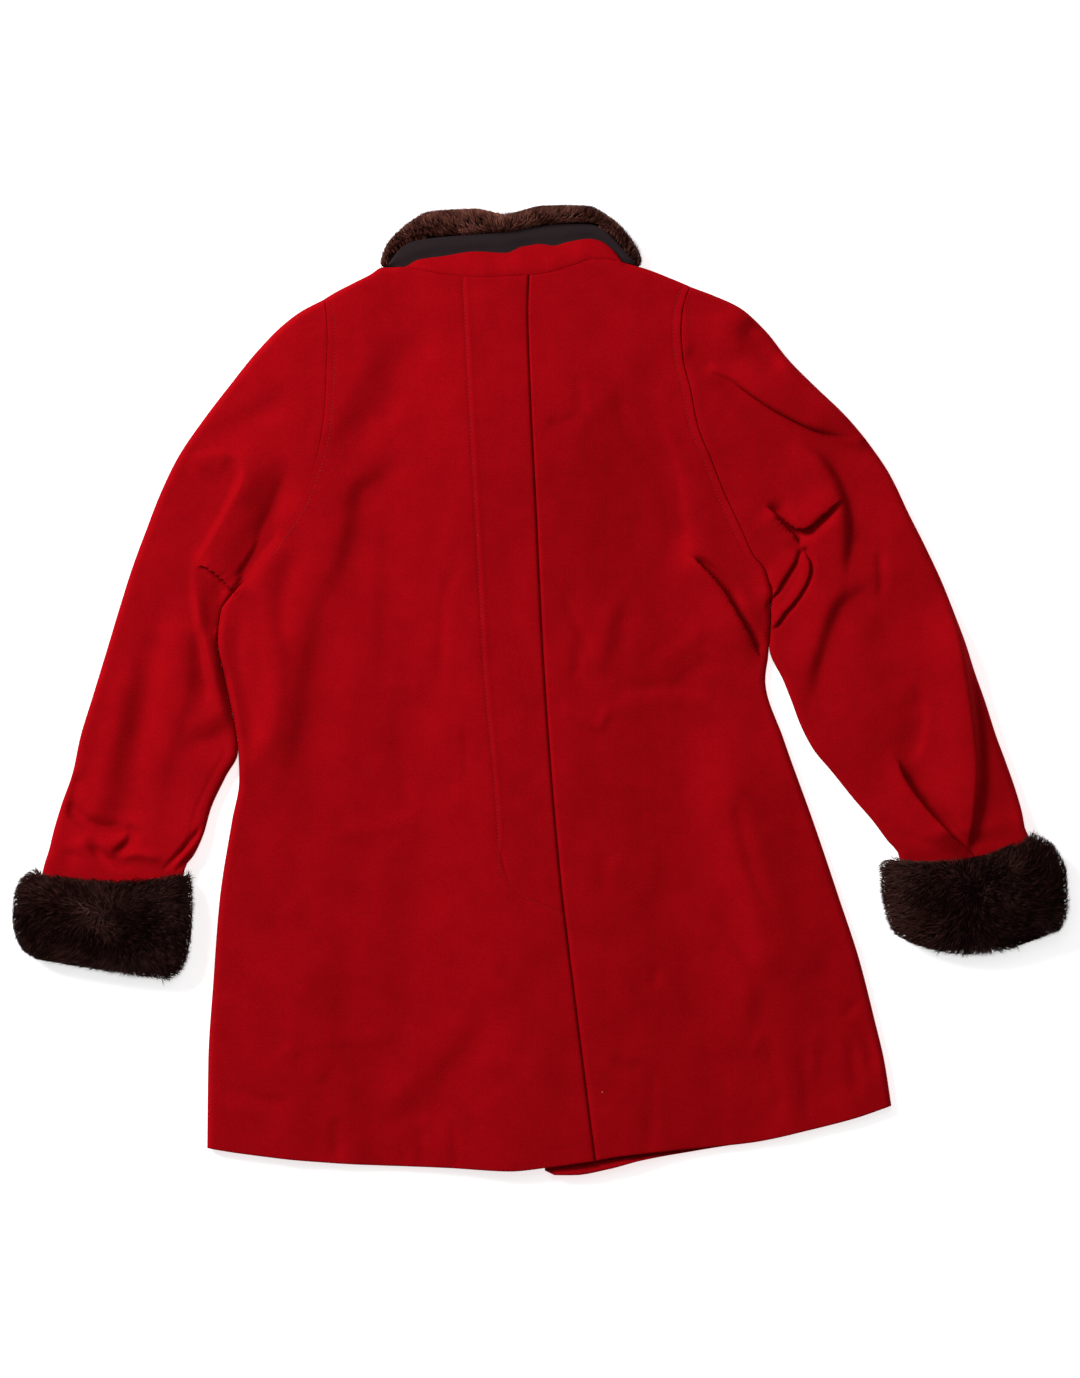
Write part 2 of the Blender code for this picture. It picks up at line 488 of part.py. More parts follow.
def make_sleeve(side, line, tip_y, hem_y, apex, edge, lower, toward_body, wool):
    """The two panels of one sleeve, between its outer edge and the body's side.

    toward_body is 1 where the body lies at higher x, and -1 where it lies at lower x.
    """
    shares, inner_x, inner_y = side_points(line, tip_y, hem_y, apex)
    outer_x = curve([row[:2] for row in edge], shares)
    outer_y = curve([(row[0], row[2]) for row in edge], shares)
    inner_x = inner_x - toward_body * GAP / 2
    outer_x[0] = outer_x[0] - toward_body * GAP / 2
    free = np.array(lower)
    outer = np.stack([np.append(outer_x, free[:, 0]), np.append(outer_y, free[:, 1])], axis=-1)
    inner = np.stack([np.append(inner_x, free[:, 2]), np.append(inner_y, free[:, 3])], axis=-1)
    lift = np.append(np.zeros(len(shares)), free[:, 4])[:, None]
    share_of_folds = np.append(np.ones(len(shares)), free[:, 5])[:, None]
    weight = np.append(1 - smooth((shares - ARMHOLE_FROM) / (ARMHOLE_TO - ARMHOLE_FROM)),
                       np.ones(len(free)))[:, None]
    along = inner - outer
    length = np.hypot(along[:, 0], along[:, 1])[:, None]
    along = along / length
    start, end = list(ROLL_STEPS), [-step for step in ROLL_STEPS[::-1]]
    reach = [np.full_like(length, step) for step in start]
    reach += between(reach[-1], length - ROLL, SLEEVE_COLUMNS)
    reach += [length + step for step in end]
    reach = np.concatenate(reach, axis=1)
    x = outer[:, :1] + along[:, :1] * reach
    y = outer[:, 1:] + along[:, 1:] * reach
    height = relief(x, y) * share_of_folds
    low = lift + neck_lift(x, y) + np.maximum(0.0, height - SLACK)
    base = lift + neck_lift(x, y) + LAYER + height
    count = reach.shape[1]
    left, right = edge_depths(count)
    shape = rounding(left) * (1 - weight * (1 - rounding(right)))
    inset = CLOTH * (np.clip(1 - left / ROLL, 0, 1) - weight * np.clip(1 - right / ROLL, 0, 1))
    in_x, in_y = x + along[:, :1] * inset, y + along[:, 1:] * inset
    for name, outside, inside, offset in (("back", base + CLOTH, base, GAP / 2),
                                          ("front", low, low + CLOTH, -GAP / 2)):
        middle = (low + base + CLOTH) / 2 + offset
        wall(f"{side}_sleeve_{name}", points(x, y, middle + (outside - middle) * shape),
             points(in_x, in_y, middle + (inside - middle) * shape), wool)


def oval(angle, power):
    """Across and up on a rounded rectangle of half sizes 1."""
    across, up = math.cos(angle), math.sin(angle)
    return (math.copysign(abs(across) ** (2 / power), across), math.copysign(abs(up) ** (2 / power), up))


def make_cuff(name, stations, fur):
    """A ring of fur round a sleeve's end, open through its slit."""
    outside, inside = [], []
    for left_x, left_y, right_x, right_y, bow, low, high, slit_left, slit_right, half in stations:
        over, under = [], []
        for i in range(CUFF_SIDES):
            angle = 2 * math.pi * (i + 0.5) / CUFF_SIDES
            across, up = oval(angle, CUFF_POWER)
            share = 0.5 + 0.5 * across
            bend = 4 * share * (1 - share) * bow
            over.append((left_x + (right_x - left_x) * share, left_y + (right_y - left_y) * share + bend,
                         (low + high) / 2 + up * (high - low) / 2))
            across, up = oval(angle, SLIT_POWER)
            x = (slit_left + slit_right) / 2 + across * (slit_right - slit_left) / 2
            share = (x - left_x) / (right_x - left_x)
            bend = 4 * share * (1 - share) * bow
            under.append((x, left_y + (right_y - left_y) * share + bend, SLIT_Z + up * half))
        outside.append(over)
        inside.append(under)
    wall(name, np.array(outside), np.array(inside), fur, ring=True)


def make_collar(neck_x, neck_y, wool, lining, fur):
    """The turned-up collar: under collar, the lining band inside it, and the fur under both."""
    def seam(x):
        return np.interp(x, neck_x, neck_y)
    start, end = UNDER_COLLAR_EDGE[0][0] + 1, UNDER_COLLAR_EDGE[-1][0] - 1
    x = np.array([start, *neck_x[(neck_x > start + 2) & (neck_x < end - 2)], end])
    share = np.linspace(0, 1, 5)[:, None]
    first = seam(x) + GAP
    last = np.maximum(curve(UNDER_COLLAR_EDGE, x), first + COLLAR_FINEST)
    y = first + (last - first) * share
    crown = COLLAR_CROWN * np.exp(-((x - CROWN_X) / CROWN_WIDTH) ** 2) * (1 - share)
    height = COLLAR_UNDERSIDE + crown + COLLAR_ARCH * np.sin(math.pi * share)
    wall("under_collar", points(x, y, height + CLOTH), points(x, y, height), wool)

    x = np.linspace(LINING_EDGE[0][0] + 1, LINING_EDGE[-1][0] - 0.5, 22)
    first = np.maximum(curve(UNDER_COLLAR_EDGE, x) - LINING_TUCK, seam(x) + 2 * GAP)
    turn = np.maximum(curve(UNDER_COLLAR_EDGE, x) + 1, first + 0.4)
    last = np.maximum(curve(LINING_EDGE, x), turn + COLLAR_FINEST)
    y = np.array([first, turn, (turn + last) / 2, last])
    height = COLLAR_UNDERSIDE - GAP - LINING + np.array(LINING_ARCH)[:, None]
    wall("collar_lining", points(x, y, height + LINING), points(x, y, height), lining)

    sections = []
    for row in FUR_RING:
        inner, lip, outer, (under, crest) = np.array(row[:2]), np.array(row[2:4]), np.array(row[4:6]), row[6:]
        section = []
        for width, at, of_under, of_crest in FUR_PROFILE:
            place = inner + (lip - inner) * at if width == "under" else lip + (outer - lip) * at
            section.append((*place, under * of_under + crest * of_crest))
        sections.append(section)
    tube("fur_collar", np.array(sections), fur)


def make_buttons(horn):
    """Flat round buttons on the outside of the right front, which lies face down on them."""
    for i, y in enumerate(BUTTON_YS, 1):
        work = bmesh.new()
        bmesh.ops.create_cone(work, cap_ends=True, segments=BUTTON_SIDES, depth=BUTTON_THICK,
                              radius1=BUTTON_RADIUS, radius2=BUTTON_RADIUS)
        x = float(curve(RIGHT_FRONT_EDGE, y)) + BUTTON_IN
        bmesh.ops.translate(work, vec=(x, y, BUTTON_THICK / 2), verts=work.verts)
        make_object(f"button_{i}", work, horn)


def material(name, colour, roughness):
    """A plain Principled material."""
    look = bpy.data.materials.new(name)
    look.use_nodes = True
    shader = look.node_tree.nodes["Principled BSDF"]
    shader.inputs["Base Color"].default_value = (*colour, 1)
    shader.inputs["Roughness"].default_value = roughness
    shader.inputs["Metallic"].default_value = 0.0
    look.diffuse_color = (*colour, 1)
    return look


for old in list(bpy.data.objects):
    bpy.data.objects.remove(old)
WOOL = material("red_wool", (0.32, 0.004, 0.008), 0.9)
DARK_LINING = material("dark_lining", (0.022, 0.017, 0.022), 0.6)
FUR = material("brown_fur", (0.03, 0.012, 0.008), 0.8)
HORN = material("dark_horn", (0.05, 0.01, 0.01), 0.35)

make_fronts(WOOL)
NECK_LINE = make_backs(WOOL)
make_sleeve("left", LEFT_SIDE, LEFT_TIP_Y, LEFT_HEM_Y, LEFT_APEX, LEFT_OUTER, LEFT_LOWER, 1, WOOL)
make_sleeve("right", RIGHT_SIDE, RIGHT_TIP_Y, RIGHT_HEM_Y, RIGHT_APEX, RIGHT_OUTER, RIGHT_LOWER, -1, WOOL)
make_cuff("left_cuff", LEFT_CUFF, FUR)
make_cuff("right_cuff", RIGHT_CUFF, FUR)
make_collar(*NECK_LINE, WOOL, DARK_LINING, FUR)
make_buttons(HORN)
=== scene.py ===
"""Looks of a women's red wool overcoat with a fur collar and fur cuffs, laid face down on its frame.

The sections follow the coat as it is put together. Sizes are millimetres in the frame's own axes,
where +Y runs from the hem to the collar, +Z is up off the surface and -X is the wearer's left.
"""

import math

import bmesh
import bpy
import numpy as np
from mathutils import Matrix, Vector
from mathutils.bvhtree import BVHTree


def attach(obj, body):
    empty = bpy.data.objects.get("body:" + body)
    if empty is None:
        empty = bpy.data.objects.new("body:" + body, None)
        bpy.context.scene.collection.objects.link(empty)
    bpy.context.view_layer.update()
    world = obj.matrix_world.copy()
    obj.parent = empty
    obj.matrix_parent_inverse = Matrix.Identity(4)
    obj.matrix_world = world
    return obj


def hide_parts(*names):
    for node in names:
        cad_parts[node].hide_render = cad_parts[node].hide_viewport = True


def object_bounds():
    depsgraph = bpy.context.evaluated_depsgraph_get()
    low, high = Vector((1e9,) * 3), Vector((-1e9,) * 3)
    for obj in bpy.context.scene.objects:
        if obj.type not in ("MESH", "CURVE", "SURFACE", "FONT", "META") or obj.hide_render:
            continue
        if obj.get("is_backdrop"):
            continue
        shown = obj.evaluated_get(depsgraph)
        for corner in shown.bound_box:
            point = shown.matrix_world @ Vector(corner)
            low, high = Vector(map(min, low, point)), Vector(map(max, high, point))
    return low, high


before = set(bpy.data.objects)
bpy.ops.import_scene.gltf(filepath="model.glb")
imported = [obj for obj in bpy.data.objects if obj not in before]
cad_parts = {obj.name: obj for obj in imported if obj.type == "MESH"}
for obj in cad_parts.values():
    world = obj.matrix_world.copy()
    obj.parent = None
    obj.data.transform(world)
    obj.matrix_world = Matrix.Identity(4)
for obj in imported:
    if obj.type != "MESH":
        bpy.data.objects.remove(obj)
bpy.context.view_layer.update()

# The two fronts. Each is one piece of milled red wool that reaches under the whole back, and the
# right one lies lowest because it closes over the left one as worn. The collar's fur and the
# buttons hold them up a little, and the folds of the back press through to them.
MILLIMETRE = 0.001
CLOTH, GAP = 2.6, 0.3      # thickness of the wool, and the space between two layers
LAYER = CLOTH + GAP
SLACK = 7.0                # most air between the fronts and the back
ROLL = 7.0                 # width over which a side or shoulder edge rounds off
EDGE = 1.3                 # and over which a cut and turned edge does
EDGE_LEFT = 0.3            # share of the cloth's thickness that is left at such an edge
SEAM_WIDTH, SEAM_DIP, NECK_DIP = 1.9, 0.9, 0.35   # how the wool is pulled down beside a seam
LEFT_SEAM_DIP = 0.5        # less beside the left armhole, and none below a height
LEFT_SEAM_LOW, LEFT_SEAM_OVER = 195.0, 60.0
STITCH_IN = 7.6            # the armhole's topstitching, in from its seam
STITCH_WIDTH, STITCH_DIP = 1.3, 0.3
SIDE_GAP = 0.02            # space left between the body's side and the sleeve beside it
SEAM_RISE = 1.0            # how the right armhole's seam allowance raises the wool beside its stitching
HEM_Y, NAPE_Y = -462.0, 398.0
LOFT_X = 20.0
LOFT = ((0, 2.0), (90, 2.4), (200, 4.6), (300, 6.2), (500, 6.2))   # air under the cloth, out from LOFT_X
# The outline. Sides and front edges are rows of y and x, and hems and the top are rows of x and y.
LEFT_SIDE = ((-444, -322), (-359, -321), (-282, -316), (-204, -310), (-127, -298), (-88, -291),
             (-60, -292), (13, -306), (47, -312), (75, -309), (93, -297), (117, -274), (144, -255),
             (175, -234), (204, -222), (234, -213), (267, -208), (304, -206), (341, -205), (377, -208))
RIGHT_SIDE = ((-403, 340), (-359, 333), (-321, 324), (-262, 309), (-204, 290), (-127, 264), (-49, 236),
              (9, 218), (33, 221), (67, 223), (91, 223), (113, 219), (130, 206), (156, 194), (190, 178),
              (220, 166), (255, 152), (290, 145), (319, 138), (345, 136), (369, 138), (389, 145))
RIGHT_FRONT_EDGE = ((-466, 5), (386, -68))
LEFT_FRONT_EDGE = ((-454, 94), (386, 10))
BACK_HEM = ((-322, -444), (-291, -449), (-232, -456), (-174, -460), (-92, -463), (-29, -466), (10, -462),
            (52, -456), (75, -452), (129, -446), (203, -439), (259, -427), (305, -415), (340, -403))
RIGHT_FRONT_HEM = ((5, -466), (15, -470), (32, -470), (67, -464), (97, -456), (155, -446), (213, -437),
                   (259, -427), (305, -415), (340, -403))
LEFT_FRONT_HEM = ((-322, -444), (-232, -455), (-136, -459), (-39, -461), (19, -460), (58, -457),
                  (94, -453))
SHOULDERS = ((-208, 377), (-196, 384), (-180, 392), (-164, 400), (-152, 407), (-131, 407), (-116, 404),
             (-89, 399), (-57, 397), (-26, 398), (6, 401), (31, 408), (54, 415), (73, 413), (94, 408),
             (107, 404), (128, 396), (145, 389))
ARMHOLE_FROM, ARMHOLE_TO = 0.645, 0.675  # share of the height where the side turns into the armhole
NECK_X, NECK_Y, NECK_HALF = -29.0, 377.0, 114.0   # middle and half width of the neck
SHOULDER_FROM = 106.0      # distance from NECK_X at which the shoulders start to round off
NECK_DROP, NECK_FROM = 55.0, 0.88   # how the fronts' top edge dips at the neck
# How far the collar's fur lifts the layers: height, half sizes of its oval, and full and none in those
NECK_LIFT, NECK_RADII, NECK_FULL, NECK_NONE = 14.0, (155.0, 106.5), 0.85, 1.35
NECK_POWER = 3
# How far the buttons lift them: height, width over which that dies out, and heights where it ends
STRIP_LIFT, STRIP_OUT, STRIP_TOP = 2.5, 30.0, (235.0, 275.0)
BACK_NECK_NONE, BACK_OUT, BACK_TOP = 2.7, 95.0, (200.0, 392.0)   # the same lifts, spread out over the back
OVERLAP_OUT = 18.0         # width over which the left front climbs on to the right one
# The fronts' hem curls up to the back's: the most it rises, from which height down, and between where
HEM_CURL, HEM_CURL_TOP = 9.5, -425.0
HEM_CURL_START, HEM_CURL_END, HEM_CURL_OVER = 10.0, 225.0, 60.0
HEM_PAST = 7.0             # how much more it rises, and over how far, once it is past the back's
EDGE_STEPS = (0.0, 0.35, EDGE)                      # lines of the grids in from a cut and turned edge,
HEM_STEPS = (*EDGE_STEPS, 2.8)                      # from a hem,
ROLL_STEPS = (0.0, 0.3, 0.9, 1.9, 3.2, 5.0, ROLL)   # and from an edge that rounds off
EVEN_FROM, EVEN_TO = 0.006, 0.972   # shares of the height between which the rows are evenly spaced
FRONT_EVERY = 8.0          # spacing of the fronts' grid

# Folds of the back and the sleeves. Their places are in points of the picture, which is 1080 by 1378
# of them, and a point is 0.9685 mm. Each row has the fold's height in millimetres, below 0 for a trough,
# its width to the left and to the right as one goes along it, which ends die out (1 the start, 2 the
# end, 3 both), and its places. The named ones have more than one row along them.
POINT, MIDDLE_X, MIDDLE_Y = 0.9685, 540.0, 689.0
ARMPIT_CREASE = (700, 566, 713, 579, 723, 592, 733, 609, 743, 626, 753, 643, 763, 661)
SHOULDER_FOLD = (722, 379, 736, 386, 751, 396, 769, 408, 787, 418, 805, 427, 824, 434, 842, 438)
UPPER_ARM_CREASE = (764, 505, 774, 515, 784, 526, 793, 536, 801, 546)
ELBOW_CREASE = (897, 757, 901, 773, 909, 789, 922, 806, 936, 822, 950, 836, 963, 848, 975, 860)
OUTER_FOLD = (938, 588, 951, 622, 959, 655, 965, 690, 970, 725, 973, 760, 972, 795, 969, 822, 964, 850)
FOLDS = (
    # The left sleeve
    (-3.5, 28, 28, 3, 200, 392, 230, 348, 262, 318, 296, 296, 330, 280),
    (-2.5, 12, 16, 3, 196, 441, 236, 427, 272, 408, 306, 386),
    (2.5, 6, 15, 3, 186, 462, 204, 459, 222, 457, 236, 462),
    (4.0, 34, 4.5, 3, 233, 451, 243, 464, 244, 478, 238, 495, 222, 525, 209, 548, 199, 566, 196, 590),
    (3.0, 14, 4.5, 3, 228, 451, 240, 459, 245, 474, 239, 492, 229, 510),
    (-3.5, 9, 16, 1, 290, 452, 284, 472, 275, 494, 265, 520, 255, 545, 245, 566),
    (-4.5, 13, 9, 3, 291, 468, 284, 492, 275, 514, 265, 534, 254, 553),
    (-6.0, 11, 4, 1, 274, 518, 267, 534, 259, 549, 251, 562, 243, 574),
    (-3.0, 5, 10, 0, 222, 590, 219, 606, 217, 624),
    (4.2, 8, 4.5, 3, 194, 560, 199, 612, 204, 638, 210, 660, 217, 688, 222, 708, 225, 728),
    (1.8, 10, 10, 3, 222, 702, 214, 716, 200, 723, 182, 724),
    (-3.8, 4, 13, 3, 199, 622, 201, 645, 203, 668, 206, 690, 204, 710),
    (-3.5, 3, 7, 3, 222, 655, 227, 680, 231, 700, 234, 720, 237, 745),
    (-2.0, 8, 12, 3, 184, 738, 202, 743, 217, 738, 236, 724),
    (3.0, 12, 20, 3, 186, 585, 188, 640, 184, 690, 172, 732, 160, 775, 152, 812),
    (-3.8, 14, 16, 1, 160, 588, 158, 640, 150, 670, 143, 710, 137, 750, 132, 785, 126, 812),
    (3.0, 14, 13, 1, 139, 640, 125, 700, 113, 745, 104, 788, 98, 812),
    (-2.5, 7, 5, 1, 80, 770, 75, 795, 73, 815),
    (-7.5, 9, 4, 3, 66, 800, 74, 812, 86, 824, 108, 832, 127, 830, 135, 820),
    (3.0, 7, 10, 3, 68, 838, 88, 844, 112, 846, 128, 842),
    (4.0, 4, 6, 3, 118, 860, 132, 853, 150, 855, 166, 864),
    (-6.5, 7, 5, 3, 90, 834, 96, 848, 106, 860, 124, 866, 142, 864),
    (-5.0, 8, 4, 3, 133, 822, 131, 838, 124, 848, 112, 855),
    (-3.0, 8, 8, 1, 76, 848, 70, 862, 65, 876),
    (-4.5, 2.5, 2.5, 1, 204, 822, 195, 836, 185, 848, 176, 858, 167, 868),
    (-4.0, 2.5, 2.5, 1, 198, 852, 190, 859, 182, 867, 174, 876),
    (1.5, 3, 3, 1, 199, 838, 187, 852, 175, 865),
    # The left half of the back
    (-3.2, 16, 18, 3, 428, 318, 417, 350, 405, 378, 392, 402, 372, 421, 359, 441, 351, 462),
    (2.0, 15, 15, 3, 385, 318, 374, 346, 361, 376, 344, 406, 333, 432, 329, 462),
    (2.8, 13, 24, 3, 384, 440, 377, 458, 364, 472, 350, 482, 342, 498, 341, 520, 337, 545, 328, 567, 315, 590,
     305, 612),
    (2.6, 14, 26, 3, 322, 572, 308, 606, 302, 635, 299, 655, 293, 680, 291, 700, 290, 720, 284, 740, 279, 760,
     273, 780, 262, 798, 249, 812, 236, 825),
    (-2.6, 26, 12, 3, 400, 446, 394, 466, 382, 484, 366, 494, 360, 515, 356, 545, 347, 570, 333, 595),
    (-3.2, 26, 15, 3, 344, 560, 325, 620, 319, 655, 312, 690, 308, 722, 298, 760, 288, 785, 272, 806),
    (4.0, 12, 13, 3, 262, 590, 270, 622, 275, 660, 276, 700, 271, 735, 259, 762, 248, 790),
    (-3.0, 7, 12, 3, 243, 598, 238, 640, 240, 670, 247, 700, 252, 728, 250, 748, 243, 770),
    (-2.5, 9, 12, 3, 298, 538, 290, 566, 283, 600, 281, 635, 288, 662),
    (-1.2, 10, 8, 3, 392, 480, 388, 540, 384, 600, 384, 660, 381, 705),
    (1.2, 14, 14, 3, 412, 515, 416, 600, 419, 680, 412, 722),
    (-1.2, 6, 6, 3, 455, 545, 456, 568, 448, 588, 443, 620, 442, 660, 446, 702),
    (-0.8, 4, 4, 3, 465, 718, 466, 755, 469, 792),
    (-0.8, 4, 4, 3, 450, 775, 451, 805),
    (-1.8, 10, 12, 3, 396, 715, 402, 750, 406, 790, 405, 828),
    (0.8, 8, 8, 3, 315, 838, 345, 834, 372, 829, 400, 822, 424, 815),
    (2.2, 18, 24, 3, 285, 925, 298, 965, 308, 1005, 318, 1040, 334, 1072, 346, 1105),
    (-1.8, 28, 16, 1, 330, 955, 344, 1000, 355, 1040, 366, 1082, 375, 1130, 378, 1165),
    (0.8, 10, 6, 3, 302, 1050, 318, 1041, 350, 1040, 386, 1038, 402, 1035),
    (1.0, 9, 9, 3, 283, 1044, 299, 1058),
    (0.8, 9, 9, 3, 308, 1064, 326, 1080),
    (1.5, 14, 18, 3, 474, 985, 468, 1007, 461, 1027, 448, 1046, 430, 1060, 414, 1080, 397, 1094, 380, 1110,
     368, 1130),
    (-1.3, 16, 14, 3, 485, 1003, 481, 1028, 472, 1048, 455, 1070, 442, 1094, 420, 1109, 400, 1121, 385, 1142),
    (-1.0, 4, 8, 3, 220, 1083, 245, 1092, 275, 1100, 302, 1103),
    (-0.8, 1.6, 1.6, 1, 500, 836, 501, 850, 505, 868, 512, 884, 525, 897, 543, 906, 563, 913),
    (-1.5, 5, 5, 1, 334, 1116, 336, 1135, 337, 1152),
    (-1.2, 5, 5, 1, 421, 1126, 423, 1158),
    (-1.2, 5, 5, 1, 454, 1116, 456, 1162),
    # The right half of the back
    (-1.0, 7, 7, 3, 577, 372, 580, 395, 585, 418),
    (-1.2, 6, 8, 3, 546, 420, 562, 425, 582, 415),
    (-3.0, 7, 16, 3, 650, 412, 660, 438, 668, 463, 675, 495, 681, 530, 683, 575),
    (-1.5, 7, 9, 3, 613, 390, 622, 415, 632, 436, 643, 456),
    (-2.0, 5, 6, 3, 562, 597, 573, 615, 581, 632, 587, 648, 590, 662),
    (-1.5, 5, 6, 3, 575, 638, 578, 662, 574, 684),
    (1.5, 4, 5, 3, 558, 704, 574, 714, 590, 725, 600, 735),
    (1.2, 5, 5, 3, 611, 704, 603, 719, 597, 736),
    (-1.3, 12, 7, 3, 633, 590, 625, 615, 622, 640, 611, 664),
    (1.5, 8, 10, 3, 616, 596, 607, 622, 602, 650, 597, 682),
    (1.6, 11, 10, 3, 706, 614, 696, 634, 681, 650, 662, 662, 644, 672),
    (-1.3, 12, 7, 3, 716, 654, 701, 665, 685, 678, 664, 691),
    (0.9, 9, 12, 3, 601, 730, 611, 711, 640, 703, 680, 702, 713, 706, 734, 722),
    (-1.2, 8, 5, 3, 608, 691, 650, 688, 700, 690, 726, 698),
    (11.0, 42, 32, 3, 712, 700, 733, 790, 750, 870, 768, 960, 782, 1060),
    (-2.0, 8, 6, 3, 733, 788, 738, 818, 745, 845, 752, 870, 762, 896, 776, 918),
    (2.4, 13, 25, 3, 690, 885, 704, 914, 717, 938, 729, 960, 741, 985, 744, 1010, 741, 1042),
    (-2.2, 20, 11, 3, 711, 893, 726, 920, 740, 942, 752, 966, 763, 990, 760, 1020, 757, 1048),
    (0.8, 4, 4, 3, 762, 1026, 758, 1042, 751, 1056),
    (-1.2, 6, 6, 3, 767, 1034, 771, 1060, 777, 1090, 779, 1128),
    (-1.2, 6, 6, 3, 797, 1048, 804, 1075, 806, 1100, 806, 1124),
    (0.9, 5, 5, 3, 815, 1022, 813, 1060, 809, 1088),
    (-1.5, 6, 6, 3, 857, 1000, 849, 1010, 842, 1020),
    (-1.9, 6, 5, 3, 842, 1018, 858, 1028, 868, 1046, 873, 1078),
    (-1.5, 6, 6, 3, 850, 1030, 853, 1068, 857, 1102),
    (-0.9, 6, 6, 1, 657, 1058, 652, 1090, 650, 1120, 648, 1150),
    (-0.8, 6, 6, 3, 610, 1053, 630, 1068, 643, 1058),
    (-1.0, 5, 5, 3, 654, 966, 655, 988),
    (-1.2, 8, 8, 3, 599, 848, 604, 872, 601, 898),
    (0.5, 6, 6, 3, 632, 842, 620, 862, 604, 884),
    (6.0, 20, 22, 3, 676, 532, 716, 574, 730, 600, 745, 628, 758, 650),
    (-5.0, 6, 3, 3, 697, 559, 713, 572, 728, 588, 742, 607),
    (-9.0, 6.5, 0.6, 2, *ARMPIT_CREASE),
    # The right sleeve
    (3.5, 26, 8, 1, *SHOULDER_FOLD, 858, 440),
    (-6.0, 2, 15, 3, 695, 372, 714, 376, 731, 383, 751, 396, 769, 408, 787, 418, 805, 427, 824, 434, 842, 438,
     860, 438),
    (-2.0, 8, 8, 3, 683, 352, 698, 362, 714, 372),
    (2.0, 14, 14, 1, 715, 368, 740, 374, 764, 382, 790, 392, 817, 404, 840, 416),
    (-5.0, 15, 13, 3, 744, 318, 756, 336, 768, 350, 790, 366),
    (2.5, 12, 20, 3, 731, 305, 733, 340, 735, 366),
    (-6.0, 34, 6, 3, 796, 437, 812, 446, 825, 456, 836, 470, 845, 488, 851, 508, 853, 530, 851, 556,
     848, 590),
    (3.0, 10, 16, 3, 782, 446, 806, 456, 822, 470, 832, 490, 838, 512, 838, 540, 835, 575),
    (-9.0, 9, 0.6, 3, *UPPER_ARM_CREASE),
    (-7.0, 3, 8, 3, 776, 517, 787, 526, 799, 532, 809, 528, 824, 515, 840, 503),
    (3.0, 4, 14, 3, 804, 536, 822, 524, 843, 509),
    (-4.0, 3, 2, 0, 800, 552, 794, 562, 787, 573, 780, 584, 774, 594),
    (-4.0, 3, 2, 0, 805, 551, 810, 563, 808, 577, 802, 590, 793, 603, 783, 614, 776, 625),
    (-3.6, 24, 8, 3, 886, 572, 870, 588, 853, 600, 841, 610, 833, 628, 827, 648, 821, 668, 817, 690, 810, 706,
     802, 720),
    (3.0, 9, 20, 3, 850, 570, 835, 592, 824, 614, 815, 642, 808, 668, 802, 694),
    (4.5, 85, 26, 3, 790, 440, 800, 500, 815, 560, 838, 650, 870, 740, 905, 820),
    (-2.0, 6, 4, 3, 877, 546, 880, 575, 880, 604),
    (-1.5, 14, 14, 3, 888, 608, 880, 640, 868, 672),
    (-3.5, 6, 18, 3, 912, 680, 918, 700, 921, 720, 917, 742, 908, 756, 898, 764),
    (3.5, 3, 20, 3, 886, 742, 901, 773, 922, 806, 950, 836, 966, 850),
    (-6.0, 10, 4, 3, 899, 758, 914, 787, 932, 811, 952, 830, 966, 841),
    (-9.0, 7.5, 0.6, 1, *ELBOW_CREASE),
    (-1.5, 5, 7, 3, 893, 834, 912, 838, 928, 845, 943, 852, 957, 858),
    (-2.0, 7, 5, 3, 966, 846, 982, 841, 1000, 839, 1016, 841),
    (8.5, 4.5, 30, 1, *OUTER_FOLD),
    (10.0, 27, 38, 3, *OUTER_FOLD),
    (-3.0, 10, 3, 3, 966, 640, 974, 690, 979, 730, 982, 770, 980, 808, 974, 838),
)
# Folds whose edge hangs over the cloth beside it: height, how far it hangs over, width of the raised
# cloth, on the left (1) or the right (-1) as one goes along it, which ends die out, and places
TUCKS = (
    (2.5, 1.5, 28, 1, 3, *SHOULDER_FOLD),
    (5.0, 1.8, 16, -1, 2, *ARMPIT_CREASE),
    (5.0, 2.0, 13, -1, 1, *ELBOW_CREASE),
    (5.0, 2.0, 12, -1, 3, *UPPER_ARM_CREASE),
    (6.0, 3.0, 15, 1, 3, 773, 511, 782, 518, 791, 525, 800, 527, 809, 524, 821, 514, 834, 504, 846, 498),
    (4.5, 2.0, 11, 1, 1, 196, 568, 204, 565, 213, 571, 222, 578, 230, 587),
    (4.0, 2.5, 12, -1, 1, 799, 551, 793, 561, 786, 572, 779, 583, 773, 593),
    (3.0, 2.5, 5, -1, 1, 804, 550, 808, 562, 806, 576, 800, 589, 791, 602, 781, 613, 774, 624),
)
FOLD_TAPER, FOLD_STEPS = 0.3, 4   # share of its length over which an end dies out; steps between places
FOLD_REACH = 2.8           # widths from its line beyond which a fold is left out
TUCK_WALL = 1.3            # width of the steep side under a hanging edge
# Broad unevenness: width across and along the coat, height, seed
UNEVEN = ((110, 130, 1.5, 11), (30, 95, 1.0, 12), (44, 40, 0.7, 14), (17, 24, 0.28, 13), (10, 11, 0.09, 15))
BOTTOM_SOFT = 0.8          # how softly a trough runs out on the layer below


def smooth(share):
    """Eased step from 0 to 1."""
    share = np.clip(share, 0.0, 1.0)
    return share * share * (3 - 2 * share)


